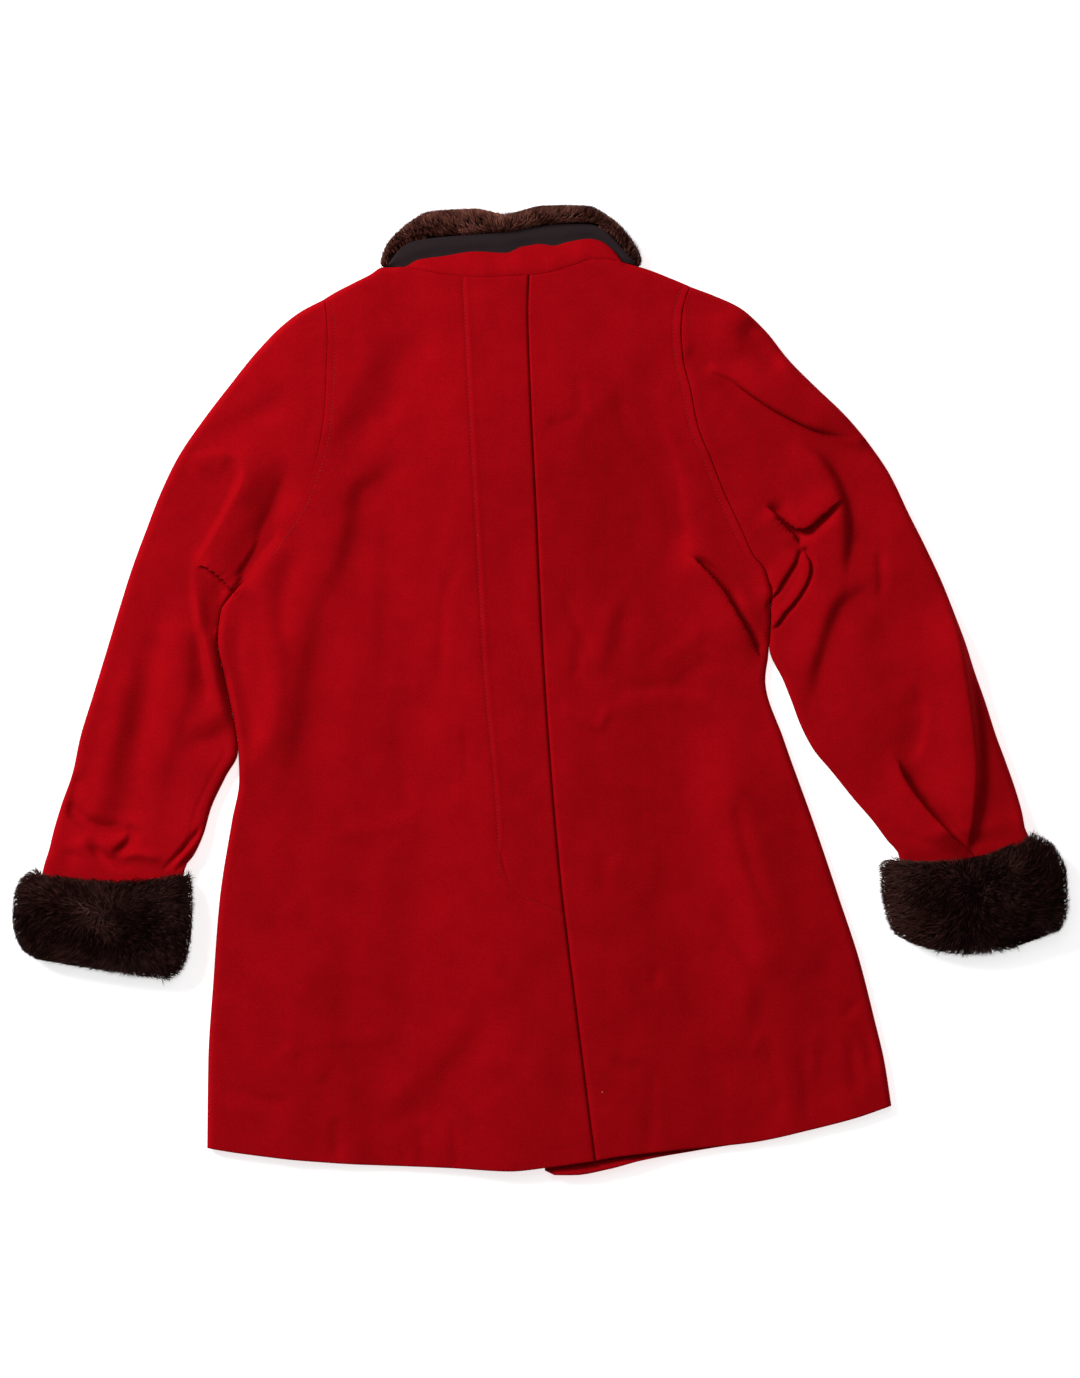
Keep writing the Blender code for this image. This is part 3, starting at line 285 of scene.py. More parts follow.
def curve(rows, at):
    """Value at each place on a smooth curve through rows of place and value, in rising order."""
    place, value = np.array(rows, float).T
    step = np.diff(place)
    rise = np.diff(value) / step
    turning = rise[:-1] * rise[1:] <= 0
    total = np.where(turning, 1.0, rise[:-1] + rise[1:])
    inner = np.where(turning, 0.0, 2 * rise[:-1] * rise[1:] / total)
    slope = np.concatenate([rise[:1], inner, rise[-1:]])
    at = np.clip(np.asarray(at, float), place[0], place[-1])
    i = np.clip(np.searchsorted(place, at, side="right") - 1, 0, len(step) - 1)
    t = (at - place[i]) / step[i]
    return ((1 + 2 * t) * (1 - t) ** 2 * value[i] + t * (1 - t) ** 2 * step[i] * slope[i]
            + t * t * (3 - 2 * t) * value[i + 1] - t * t * (1 - t) * step[i] * slope[i + 1])


def rounding(depth, width=ROLL):
    """Share of its full height that a rolled edge has at a depth in from its outermost line."""
    short = np.clip(1 - np.asarray(depth, float) / width, 0.0, 1.0)
    return np.sqrt(1 - short ** 2)


def uneven(x, y, across, along, seed):
    """Smooth random height from -1 to 1, with humps of about these sizes."""
    size = 64
    table = np.random.default_rng(seed).uniform(-1, 1, (size, size))
    u, v = x / across, y / along
    i, j = np.floor(u).astype(int), np.floor(v).astype(int)
    s, t = smooth(u - i), smooth(v - j)
    low, high = (table[i % size, at % size] * (1 - s) + table[(i + 1) % size, at % size] * s
                 for at in (j, j + 1))
    return low * (1 - t) + high * t


def beside(x, y, places):
    """Distance of points from a smooth line, share along it, side (1 is its left), and the way leftwards."""
    line = np.array(places, float).reshape(-1, 2) - (MIDDLE_X, MIDDLE_Y)
    line = line * (POINT, -POINT)
    at = np.linspace(0, len(line) - 1, FOLD_STEPS * (len(line) - 1) + 1)
    i = np.clip(at.astype(int), 0, len(line) - 2)
    t = (at - i)[:, None]
    ends = np.concatenate([2 * line[:1] - line[1:2], line, 2 * line[-1:] - line[-2:-1]])
    p, q, r, s = ends[i], ends[i + 1], ends[i + 2], ends[i + 3]
    way = q + ((r - p) * t + (2 * p - 5 * q + 4 * r - s) * t ** 2 + (3 * q - p - 3 * r + s) * t ** 3) / 2
    nearest, along = np.full(np.shape(x), np.inf), np.zeros(np.shape(x))
    side, across = np.zeros(np.shape(x)), np.zeros((2,) + np.shape(x))
    run = np.concatenate([[0], np.cumsum(np.hypot(*np.diff(way, axis=0).T))])
    for i in range(len(way) - 1):
        dx, dy = way[i + 1] - way[i]
        share = np.clip(((x - way[i, 0]) * dx + (y - way[i, 1]) * dy) / (dx * dx + dy * dy), 0, 1)
        away_x, away_y = x - way[i, 0] - share * dx, y - way[i, 1] - share * dy
        away = np.hypot(away_x, away_y)
        closer = away < nearest
        length = math.hypot(dx, dy)
        nearest = np.where(closer, away, nearest)
        along = np.where(closer, (run[i] + share * length) / run[-1], along)
        side = np.where(closer, np.sign(dx * away_y - dy * away_x), side)
        across = np.where(closer, np.array((-dy / length, dx / length))[:, None], across)
    return nearest, along, side, across


def dying(along, ends):
    """Share of a fold's height along it, where ends says which of its ends die out."""
    start = smooth(along / FOLD_TAPER) if ends in (1, 3) else 1.0
    return start * (smooth((1 - along) / FOLD_TAPER) if ends in (2, 3) else 1.0)


def near_line(x, y, places, reach):
    """Which points lie near a line."""
    line_x = (np.array(places[::2]) - MIDDLE_X) * POINT
    line_y = (MIDDLE_Y - np.array(places[1::2])) * POINT
    return ((x > line_x.min() - reach) & (x < line_x.max() + reach)
            & (y > line_y.min() - reach) & (y < line_y.max() + reach))


def relief(x, y):
    """Height of the back, or a sleeve's upper side, above layers that lie flat."""
    x, y = np.broadcast_arrays(x, y)
    rise = curve(LOFT, np.abs(x - LOFT_X))
    rise = rise + sum(height * uneven(x, y, across, along, seed) for across, along, height, seed in UNEVEN)
    for height, before, after, ends, *places in FOLDS:
        near = near_line(x, y, places, FOLD_REACH * max(before, after))
        if near.any():
            away, along, side, _ = beside(x[near], y[near], places)
            width = np.where(side > 0, before, after)
            rise[near] += height * np.exp(-(away / width) ** 2) * dying(along, ends)
    for height, _, wide, up_side, ends, *places in TUCKS:
        near = near_line(x, y, places, FOLD_REACH * wide)
        if near.any():
            away, along, side, _ = beside(x[near], y[near], places)
            width = np.where(side == up_side, wide, TUCK_WALL)
            rise[near] += height * np.exp(-(away / width) ** 2) * dying(along, ends)
    return (rise + np.sqrt(rise * rise + BOTTOM_SOFT ** 2)) / 2


def neck_lift(x, y, none=NECK_NONE):
    """Height of the coat's lowest layer over the collar's fur, down to nothing at that many radii."""
    out_x, out_y = np.abs(x - NECK_X) / NECK_RADII[0], np.abs(y - NECK_Y) / NECK_RADII[1]
    out = (out_x ** NECK_POWER + out_y ** NECK_POWER) ** (1 / NECK_POWER)
    return NECK_LIFT * (1 - smooth((out - NECK_FULL) / (none - NECK_FULL)))


def overlap(x, y, out, top):
    """1 where the fronts overlap, dying away over a width on either side and between two heights above."""
    left = smooth(1 - (curve(RIGHT_FRONT_EDGE, y) - x) / out)
    right = smooth(1 - (x - curve(LEFT_FRONT_EDGE, y)) / out)
    low, high = top
    return left * right * (1 - smooth((y - low) / (high - low)))


def lying_lift(x, y):
    """How far the collar's fur and the buttons hold the lowest layer off the surface."""
    return neck_lift(x, y) + STRIP_LIFT * overlap(x, y, STRIP_OUT, STRIP_TOP)


def floor_height(x, y, rise):
    """Underside of the lowest layer of the body."""
    return lying_lift(x, y) + np.maximum(0.0, rise - SLACK)


def back_height(x, y, rise):
    """Underside of the back over the fronts, apart from the pleat."""
    return (neck_lift(x, y, BACK_NECK_NONE) + LAYER + rise
            + (STRIP_LIFT + LAYER) * overlap(x, y, BACK_OUT, BACK_TOP))


def hem_curl(x, y, rise):
    """How far the fronts' hems, which show below the back's, curl up towards it."""
    room = back_height(x, y, rise) - floor_height(x, y, rise)
    room = room - LAYER * (1 + overlap(x, y, OVERLAP_OUT, BACK_TOP))
    room = room + HEM_PAST * smooth((curve(BACK_HEM, x) - y) / HEM_PAST)
    along = smooth(x / HEM_CURL_START) * (1 - smooth((x - HEM_CURL_END) / HEM_CURL_OVER))
    return np.minimum(HEM_CURL, room) * along * smooth((HEM_CURL_TOP - y) / (HEM_CURL_TOP - HEM_Y))


def between(start, end, every):
    """Evenly spaced columns between two columns, about every so many millimetres."""
    count = max(1, int(np.max(np.abs(end - start)) / every))
    return [start + (end - start) * i / (count + 1) for i in range(1, count + 1)]


def body_rows(every):
    """Share of the height and offset in millimetres of each row of a body panel's grid."""
    shares = np.linspace(EVEN_FROM, EVEN_TO, int((EVEN_TO - EVEN_FROM) * (NAPE_Y - HEM_Y) / every))
    share = np.concatenate([np.zeros(len(HEM_STEPS)), shares, np.ones(len(ROLL_STEPS))])
    offset = np.concatenate([HEM_STEPS, np.zeros(len(shares)), -np.array(ROLL_STEPS)[::-1]])
    return share, offset


def body_line(place, share, offset):
    """X of a line down the body at each row of the grid."""
    hem, top = curve(BACK_HEM, place(HEM_Y)), curve(SHOULDERS, place(NAPE_Y))
    return place(hem + (top - hem) * share + offset)


def body_y(x, share, offset):
    """Y of each point of a body panel's grid."""
    hem, top = curve(BACK_HEM, x[0]), curve(SHOULDERS, x[-1])
    return hem + (top - hem) * share[:, None] + offset[:, None]


def left_line(y):
    """The body's left side."""
    return curve(LEFT_SIDE, y) + SIDE_GAP / 2


def right_line(y):
    """The body's right side."""
    return curve(RIGHT_SIDE, y) - SIDE_GAP / 2


def seam_dip(x, y):
    """How far the armhole's seam pulls the wool down."""
    left = LEFT_SEAM_DIP * smooth((y - LEFT_SEAM_LOW) / LEFT_SEAM_OVER)
    return np.where(x < 0, left, SEAM_DIP)


def edge_shape(depth, width=EDGE):
    """Share of the cloth's thickness at a depth in from a turned edge."""
    return EDGE_LEFT + (1 - EDGE_LEFT) * rounding(depth, width)


def points_at(*coordinates):
    """Points from their X, Y and perhaps Z."""
    return np.stack(np.broadcast_arrays(*coordinates), axis=-1)


def body_panel(x, y, share, drop, low, high, lower, upper, up):
    """Lower and upper points of a body panel, rounded off at its sides, shoulders and hem.

    low and high are the underside and top of the whole stack, and up says that it is a back panel.
    """
    left = x - left_line(y)
    right = right_line(y) - x
    side = 1 - smooth((share - ARMHOLE_FROM) / (ARMHOLE_TO - ARMHOLE_FROM))[:, None]
    crown = smooth((np.abs(x[-1] - NECK_X) - SHOULDER_FROM) / (NECK_HALF - SHOULDER_FROM))[None, :]
    depth = np.where(share == 1.0, -drop, ROLL)[:, None]
    shape = ((1 - side * (1 - rounding(left))) * (1 - side * (1 - rounding(right)))
             * (1 - crown * (1 - rounding(depth))))
    inset_x = side * CLOTH * (np.clip(1 - left / ROLL, 0, 1) - np.clip(1 - right / ROLL, 0, 1))
    inset_y = -crown * CLOTH * (1 - depth / ROLL)
    below = np.argmax(share == 1.0) - 1
    inset_x = inset_x + inset_y * (x[-1] - x[below]) / (y[-1] - y[below])
    thin = edge_shape(np.where(share == 0.0, drop, EDGE))[:, None]
    centre = (lower + upper) / 2
    lower, upper = centre + (lower - centre) * thin, centre + (upper - centre) * thin
    middle = (low + high) / 2 + (GAP / 2 if up else -GAP / 2)
    dip = np.maximum(1 - rounding(left, SEAM_WIDTH), 1 - rounding(right, SEAM_WIDTH)) * (1 - side)
    dip = np.maximum(seam_dip(x, y) * dip, NECK_DIP * (1 - crown) * (1 - rounding(depth, SEAM_WIDTH)))
    stitch = np.minimum(np.abs(left - STITCH_IN), np.abs(right - STITCH_IN)) / STITCH_WIDTH
    dip = dip + STITCH_DIP * np.exp(-stitch ** 2) * (1 - side) * seam_dip(x, y) / SEAM_DIP
    dip = (dip - SEAM_RISE * (1 - smooth(right / STITCH_IN)) * (1 - side)) * up
    lower_z, upper_z = (middle + (face - middle) * shape for face in (lower, upper - dip))
    if up:
        return points_at(x + inset_x, y + inset_y, lower_z), points_at(x, y, upper_z)
    return points_at(x, y, lower_z), points_at(x + inset_x, y + inset_y, upper_z)


def finished_mesh(name, work):
    """The mesh of a bmesh that is done."""
    mesh = bpy.data.meshes.new(name)
    work.to_mesh(mesh)
    work.free()
    return mesh


def add_piece(name, mesh, look, node=None):
    """Add a smooth mesh to the coat as a piece of its own, in place of a node of the frame."""
    mesh.shade_smooth()
    mesh.materials.append(look)
    piece = bpy.data.objects.new(name, mesh)
    bpy.context.scene.collection.objects.link(piece)
    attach(piece, "root")
    if node:
        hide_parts(node)
    return piece


def cloth_piece(node, lower, upper, x, y, look, slot, cut):
    """A closed piece of cloth between two grids of points: a grid, extruded once.

    x and y are the cloth's own coordinates, which the weave follows, and cut, its width and length in
    metres before it was laid, is not used.
    """
    rows, columns = lower.shape[:2]
    work = bmesh.new()
    bmesh.ops.create_grid(work, x_segments=columns - 1, y_segments=rows - 1, size=1)
    place = work.verts.layers.int.new("place")
    for i, vert in enumerate(work.verts):
        vert[place] = i
    new = bmesh.ops.extrude_face_region(work, geom=work.faces[:])["geom"]
    raised = {item for item in new if isinstance(item, bmesh.types.BMVert)}
    under = (lower.reshape(-1, 3) * MILLIMETRE).tolist()
    over = (upper.reshape(-1, 3) * MILLIMETRE).tolist()
    for vert in work.verts:
        vert.co = (over if vert in raised else under)[vert[place]]
    cloth = work.loops.layers.uv.new("cloth")
    spread = (points_at(x, y).reshape(-1, 2) * MILLIMETRE).tolist()
    for face in work.faces:
        for loop in face.loops:
            loop[cloth].uv = spread[loop.vert[place]]
    mesh = finished_mesh(node + "_cloth", work)
    piece = add_piece(node + "_cloth", mesh, look, node)
    return piece


def add_node(tree, kind, inputs=(), **settings):
    """A shader node with its settings, and inputs that are values or other nodes' outputs."""
    made = tree.nodes.new("ShaderNode" + kind)
    for name, value in settings.items():
        setattr(made, name, value)
    for name, value in dict(inputs).items():
        if isinstance(value, bpy.types.NodeSocket):
            tree.links.new(value, made.inputs[name])
        else:
            made.inputs[name].default_value = value
    return made


def worked(tree, operation, *values):
    """Output of a Math node, from values or other nodes' outputs."""
    return add_node(tree, "Math", dict(enumerate(values)), operation=operation).outputs[0]


def mixed(tree, share, first, second):
    """Output of a node that mixes two colours."""
    return add_node(tree, "Mix", {0: share, 6: first, 7: second}, data_type="RGBA").outputs[2]


def set_inputs(node, values):
    """Put constants on a node's inputs."""
    for name, value in values.items():
        node.inputs[name].default_value = value


def new_look(name):
    """A new material, its node tree and its Principled shader."""
    look = bpy.data.materials.new(name)
    look.use_nodes = True
    return look, look.node_tree, look.node_tree.nodes["Principled BSDF"]


NAP_SHOWS, MOTTLE_SHOWS, THREAD_SHOWS = 0.9, 0.5, 0.04   # how much each changes the cloth's depth of colour
THREAD_HEIGHT = 0.15       # height of the threads beside the nap's
LINT_CELLS, LINT_SIZE, LINT_SHARE = 17, 0.011, 0.2   # places for lint in a metre, its size, share filled


def make_cloth_group():
    """Colour and height of milled cloth: threads under a short nap, uneven dye and a little lint."""
    group = bpy.data.node_groups.new("milled_cloth", "ShaderNodeTree")
    for name, kind in (("Color", "Color"), ("Deep", "Color"), ("Lint", "Color"), ("Thread", "Float")):
        group.interface.new_socket(name, in_out="INPUT", socket_type="NodeSocket" + kind)
    for name, kind in (("Color", "Color"), ("Height", "Float")):
        group.interface.new_socket(name, in_out="OUTPUT", socket_type="NodeSocket" + kind)
    given = group.nodes.new("NodeGroupInput").outputs
    place = add_node(group, "TexCoord").outputs
    nap, mottle = (add_node(group, "TexNoise", {"Vector": place["Object"], "Scale": scale, "Detail": detail,
                                                "Roughness": rough}).outputs["Fac"]
                   for scale, detail, rough in ((520, 5, 0.75), (38, 4, 0.6)))
    waves = [add_node(group, "TexWave", {"Vector": place["UV"], "Scale": given["Thread"], "Distortion": 2.5,
                                         "Detail": 2, "Detail Scale": 1.5}, bands_direction=axis)
             for axis in ("X", "Y")]
    threads = worked(group, "ADD", *(wave.outputs["Fac"] for wave in waves))
    shade = 0.0
    for pattern, shows in ((nap, NAP_SHOWS), (mottle, MOTTLE_SHOWS), (threads, THREAD_SHOWS)):
        shade = worked(group, "MULTIPLY_ADD", pattern, shows, shade)
    depth = add_node(group, "MapRange", {"Value": shade, "From Min": 0.49, "From Max": 0.99}).outputs[0]
    dyed = mixed(group, depth, given["Deep"], given["Color"])
    cells = add_node(group, "TexVoronoi", {"Vector": place["Object"], "Scale": LINT_CELLS}).outputs
    speck = worked(group, "LESS_THAN", cells["Distance"], LINT_SIZE)
    chosen = add_node(group, "SeparateColor", {0: cells["Color"]}).outputs[0]
    lint = worked(group, "MULTIPLY", speck, worked(group, "LESS_THAN", chosen, LINT_SHARE))
    shown = group.nodes.new("NodeGroupOutput").inputs
    group.links.new(mixed(group, lint, dyed, given["Lint"]), shown["Color"])
    group.links.new(worked(group, "MULTIPLY_ADD", threads, THREAD_HEIGHT, nap), shown["Height"])
    return group


def cloth_look(name, colour, deep, lint, thread, roughness, specular, sheen, bump):
    """A Principled material of milled cloth."""
    look, tree, shader = new_look(name)
    look.diffuse_color = (*colour, 1)
    woven = tree.nodes.new("ShaderNodeGroup")
    woven.node_tree = CLOTH_GROUP
    set_inputs(woven, {"Color": (*colour, 1), "Deep": (*deep, 1), "Lint": (*lint, 1), "Thread": thread})
    raised = add_node(tree, "Bump", {"Height": woven.outputs["Height"], "Strength": bump,
                                     "Distance": 0.0006})
    tree.links.new(woven.outputs["Color"], shader.inputs["Base Color"])
    tree.links.new(raised.outputs[0], shader.inputs["Normal"])
    set_inputs(shader, {"Roughness": roughness, "Specular IOR Level": specular, "Sheen Weight": sheen,
                        "Sheen Roughness": 0.6, "Sheen Tint": (*colour, 1)})
    return look


CLOTH_GROUP = make_cloth_group()
WOOL = cloth_look("red_wool", colour=(0.375, 0.0020, 0.0055), deep=(0.265, 0.0009, 0.0032),
                  lint=(0.55, 0.2, 0.18), thread=190, roughness=0.95, specular=0.02, sheen=0.05, bump=0.5)

for name, hem, cut in (("front_right", RIGHT_FRONT_HEM, (0.36, 0.87)),
                       ("front_left", LEFT_FRONT_HEM, (0.42, 0.86))):
    share, drop = body_rows(FRONT_EVERY)
    left = body_line(left_line, share, drop)
    right = body_line(right_line, share, drop)
    edge = body_line(lambda y: curve(RIGHT_FRONT_EDGE, y), share, drop)
    flap = body_line(lambda y: curve(LEFT_FRONT_EDGE, y), share, drop)
    if name == "front_right":
        columns = [edge + step for step in EDGE_STEPS]
        columns += between(columns[-1], right - ROLL, FRONT_EVERY)
        columns += [right - step for step in ROLL_STEPS[::-1]]
    else:
        columns = [left + step for step in ROLL_STEPS]
        columns += between(columns[-1], flap - EDGE, FRONT_EVERY)
        columns += [flap - step for step in EDGE_STEPS[::-1]]
    x = np.array(columns).T
    y = body_y(x, share, drop)
    half = np.clip(1 - ((x[-1] - NECK_X) / NECK_HALF) ** 2, 0, 1)
    y = y - NECK_DROP * np.sqrt(half) * smooth((share - NECK_FROM) / (1 - NECK_FROM))[:, None]
    rise = relief(x, y)
    high = back_height(x, y, rise) + CLOTH
    y = np.where((share == 0.0)[:, None], curve(hem, x[0])[None, :] + drop[:, None], y)
    low = floor_height(x, y, rise) + hem_curl(x, y, rise)
    under = low + (name == "front_left") * LAYER * smooth(1 - (edge[:, None] - x) / OVERLAP_OUT)
    free = x - edge[:, None] if name == "front_right" else flap[:, None] - x
    thin = edge_shape(free)
    lower, upper = (under + CLOTH / 2 * (1 + face * thin) for face in (-1, 1))
    lower, upper = body_panel(x, y, share, drop, low, high, lower, upper, up=False)
    cloth_piece(name, lower, upper, x, y, WOOL, "red_wool", cut)

# The two halves of the back, also of the milled wool. The left half is folded under itself down the
# centre and comes back to the pleat's inner seam, over the right half's edge. A line of stitching
# holds the pleat from the neck to below the waist, where it curves across to the fold.
BACK_EVERY = 3.3
PLEAT_FOLD = ((-455, 53), (-304, 34), (-169, 18), (28, 3), (173, -4), (299, -10), (367, -12), (397, -11))
PLEAT_SEAM = ((-464, -34), (-151, -40), (-76, -45), (6, -53), (110, -59), (236, -66), (394, -74))
PLEAT_HOOK = ((-38, -151), (-29.5, -188), (22, -217))   # start, middle and end of the stitching's curve
HOOK_TOP, HOOK_SOFT = PLEAT_HOOK[0][1], 10.0
PLEAT_RAMP, SOFT_RAMP, STITCH_END_Y = 80.0, 100.0, -190.0   # how far out the cloth climbs over the pleat
PLEAT_DIP, PLEAT_DIP_WIDTH = 0.6, 1.5      # how the stitching pulls it down
PLEAT_LIP, PLEAT_LIP_IN, PLEAT_LIP_WIDTH = 0.45, 3.5, 2.2   # the pleat's raised edge beside its stitching
PLEAT_REST, PLEAT_REST_WIDTH = 5.0, 70.0   # how far the right half rises to meet the pleat's fold
PLEAT_REST_IN, PLEAT_REST_OVER = 1.5, 3.2
PLEAT_STEPS = (-2, -1, 0, 1, 2, 3.5, 5)    # columns of the left half's grid beside the inner seam
PLEAT_TURNS = 7                            # and round the fold
SIDE_STEPS = (0.0, 0.3, 0.9, 1.9, 3.2, 4.6, 6.0, 7.0, 7.6, 8.2, 9.2)   # and in from a side
TURN = CLOTH + GAP / 2                     # radius of the pleat's fold
TUCK_PULL = 0.5            # share of a tuck's raised width that is pulled over the cloth beside it
# The grids are drawn in to tucks, and to folds narrower than this, from so far on either side
NARROW, DRAWN_FROM, DRAWN_POWER, DRAWN_END = 2.0, 8.0, 1.8, 0.1


def seam_line(y):
    """The pleat's inner seam and the line of its stitching."""
    return curve(PLEAT_SEAM, y)


def fold_line(y):
    """The pleat's folded edge."""
    return curve(PLEAT_FOLD, y)


def ramp_line(y):
    """Where the back's left half starts to climb over the pleat, softly below the stitching's end."""
    soft = smooth((STITCH_END_Y + SOFT_RAMP - y) / (2 * SOFT_RAMP))
    return seam_line(y) - PLEAT_RAMP - (SOFT_RAMP - PLEAT_RAMP) * soft


def pleat_dip(x, y):
    """How far the pleat's stitching pulls the wool down, less the raised edge beside it."""
    out = x - seam_line(y)
    dip = PLEAT_DIP * np.exp(-(out / PLEAT_DIP_WIDTH) ** 2)
    dip = dip - PLEAT_LIP * np.exp(-((out - PLEAT_LIP_IN) / PLEAT_LIP_WIDTH) ** 2)
    return dip * smooth((y - HOOK_TOP + HOOK_SOFT) / (2 * HOOK_SOFT))


def pleat_rest(x, y):
    """How far the back's right half rises beside the pleat's fold."""
    out = x - fold_line(y)
    rise = smooth((out + PLEAT_REST_IN) / PLEAT_REST_OVER)
    return PLEAT_REST * np.exp(-(np.maximum(out, 0) / PLEAT_REST_WIDTH) ** 2) * rise


def tucked(x, y, points):
    """Points of a panel's side, those beside a tuck pulled out over the cloth next to it."""
    x, y = np.broadcast_arrays(x, y)
    for _, over, wide, up_side, ends, *places in TUCKS:
        near = near_line(x, y, places, FOLD_REACH * wide)
        if near.any():
            away, along, side, across = beside(x[near], y[near], places)
            pull = over * np.exp(-(away / (wide * TUCK_PULL)) ** 2) * dying(along, ends) * (side == up_side)
            points[near, 0] -= up_side * across[0] * pull
            points[near, 1] -= up_side * across[1] * pull
    return points


def drawn_in(x, y):
    """Points of a grid drawn in to the narrow lines of the cloth, so that these keep their shape."""
    x, y = (np.array(part) for part in np.broadcast_arrays(x, y))
    lines = [places for _, before, after, _, *places in FOLDS if min(before, after) < NARROW]
    for places in lines + [places for _, _, _, _, _, *places in TUCKS]:
        near = near_line(x, y, places, DRAWN_FROM)
        if near.any():
            away, along, side, across = beside(x[near], y[near], places)
            inside = smooth(along / DRAWN_END) * smooth((1 - along) / DRAWN_END) * side
            far = np.minimum(away / DRAWN_FROM, 1)
            move = DRAWN_FROM * (far - far ** DRAWN_POWER) * inside
            x[near] -= across[0] * move
            y[near] -= across[1] * move
    return x, y


share, drop = body_rows(BACK_EVERY)
left, right = body_line(left_line, share, drop), body_line(right_line, share, drop)
seam, ramp = body_line(seam_line, share, drop), body_line(ramp_line, share, drop)
pleat = body_line(fold_line, share, drop)

columns = [seam] + between(seam, pleat, 2 * BACK_EVERY) + [pleat]
columns += between(pleat, right - SIDE_STEPS[-1], BACK_EVERY)
x = np.array(columns + [right - step for step in SIDE_STEPS[::-1]]).T
x, y = drawn_in(x, body_y(x, share, drop))
rise = relief(x, y)
low, base = floor_height(x, y, rise), back_height(x, y, rise) + pleat_rest(x, y)
lower, upper = body_panel(x, y, share, drop, low, base + CLOTH, base, base + CLOTH, up=True)
lower, upper = tucked(x, y, lower), tucked(x, y, upper)
BACK_RIGHT = cloth_piece("back_right", lower, upper, x, y, WOOL, "red_wool", (0.38, 0.87))
NECK_RIGHT = upper[-1]

columns = [left + step for step in SIDE_STEPS] + between(left + SIDE_STEPS[-1], ramp, BACK_EVERY)
columns += [ramp] + between(ramp, seam + PLEAT_STEPS[0], BACK_EVERY)
past_seam = len(columns) + PLEAT_STEPS.index(1)
columns += [seam + step for step in PLEAT_STEPS]
under = slice(None, past_seam - 1, -1)   # from the fold back to the column just past the inner seam
columns += between(seam + PLEAT_STEPS[-1], pleat - TURN, BACK_EVERY) + [pleat - TURN]
x = np.array(columns).T
x, y = drawn_in(x, body_y(x, share, drop))
rise = relief(x, y)
low, base = floor_height(x, y, rise), back_height(x, y, rise)
raised = base + 2 * LAYER * smooth((x - ramp[:, None]) / (seam - ramp)[:, None])
top = raised + CLOTH - pleat_dip(x, y)
lower, upper = body_panel(x, y, share, drop, low, base + CLOTH, raised, top, up=True)
middle = base[:, -1] + LAYER + TURN
faces = []
for face, radius, returned in ((lower, GAP / 2, base + LAYER + CLOTH), (upper, TURN, base + LAYER)):
    turns = [points_at(x[:, -1] + radius * math.cos(angle), y[:, -1], middle + radius * math.sin(angle))
             for angle in np.linspace(math.pi / 2, -math.pi / 2, PLEAT_TURNS + 2)[1:-1]]
    faces.append(np.concatenate([face, np.stack(turns, axis=1), points_at(x, y, returned)[:, under]], axis=1))
fold = pleat[:, None]
flat_x = np.concatenate([x, np.repeat(fold, PLEAT_TURNS, axis=1), 2 * fold - x[:, under]], axis=1)
flat_y = np.concatenate([y, np.repeat(y[:, -1:], PLEAT_TURNS, axis=1), y[:, under]], axis=1)
BACK_LEFT = cloth_piece("back_left", *faces, flat_x, flat_y, WOOL, "red_wool", (0.45, 0.87))
NECK_LEFT = faces[1][-1, :len(columns)]

# The sleeves, two panels of the wool each, joined along the outer fold and the under-arm seam, and
# set into the armholes. Their ends lie in the slits of the fur cuffs.
LEFT_HEM_Y, LEFT_TIP_Y = -444.0, 377.0     # the body's side at its hem and at the shoulder
RIGHT_HEM_Y, RIGHT_TIP_Y = -403.0, 389.0
# Shares of that height at which the sleeves' rows meet the body, from the shoulder down
LEFT_SHARES = (0.976, 0.95, 0.92, 0.88, 0.84, 0.80, 0.76, 0.72, 0.69, 0.67, 0.655, 0.64, 0.60, 0.56, 0.51,
               0.4675)
RIGHT_SHARES = LEFT_SHARES[:-2]
# The outer fold beside the body: share, x, y
LEFT_OUTER = ((0.4675, -445, -47), (0.56, -419, 38), (0.64, -397, 110), (0.69, -381, 154),
              (0.75, -356, 214), (0.83, -306, 286), (0.91, -256, 345), (0.95, -231, 365),
              (0.976, -208, 377))
RIGHT_OUTER = ((0.55, 394, 92), (0.59, 378, 127), (0.64, 357, 169), (0.69, 337, 210), (0.75, 302, 257),
               (0.83, 247, 311), (0.91, 199, 365), (0.95, 169, 380), (0.976, 145, 389))
# Rows below the body: outer x, y, inner x, y, height off the surface, share of folds
LEFT_LOWER = ((-452, -80, -304, -85, 0.0, 1.0), (-463, -112, -318, -115, 1.5, 1.0),
              (-470, -136, -325, -140, 4.5, 1.0), (-475, -157, -334, -160, 7.0, 0.9),
              (-479, -170, -342.5, -172, 10.5, 0.4), (-484, -200, -347, -204, 12.2, 0.1),
              (-484, -222, -351, -231, 12.2, 0.1), (-481.5, -240, -354, -250, 12.2, 0.1))
RIGHT_LOWER = ((403, 67, 235, 9, 0.0, 1.0), (411, 45, 243, -11, 0.0, 1.0), (420, 17, 252, -35, 0.0, 1.0),
               (430, -11, 264, -58, 0.0, 1.0), (441, -45, 283, -81, 0.0, 1.0),
               (451, -72, 303, -106, 1.5, 1.0), (460, -98, 322, -128, 4.0, 1.0),
               (466, -120, 336, -147, 7.0, 1.0), (468.5, -134.5, 345.5, -158, 10.5, 0.6),
               (482, -161, 348.5, -172, 12.2, 0.1), (490, -190, 351.5, -192, 12.2, 0.1),
               (490, -219, 358, -225, 12.2, 0.1))
SLEEVE_EVERY, SLEEVE_UNDER_EVERY = 2.35, 7.0   # spacing of the upper and the under sides' grids
CAP, CAP_AT, CAP_WIDTH = 0.4, 6.0, 5.0   # fullness of the sleeve beside the armhole's seam
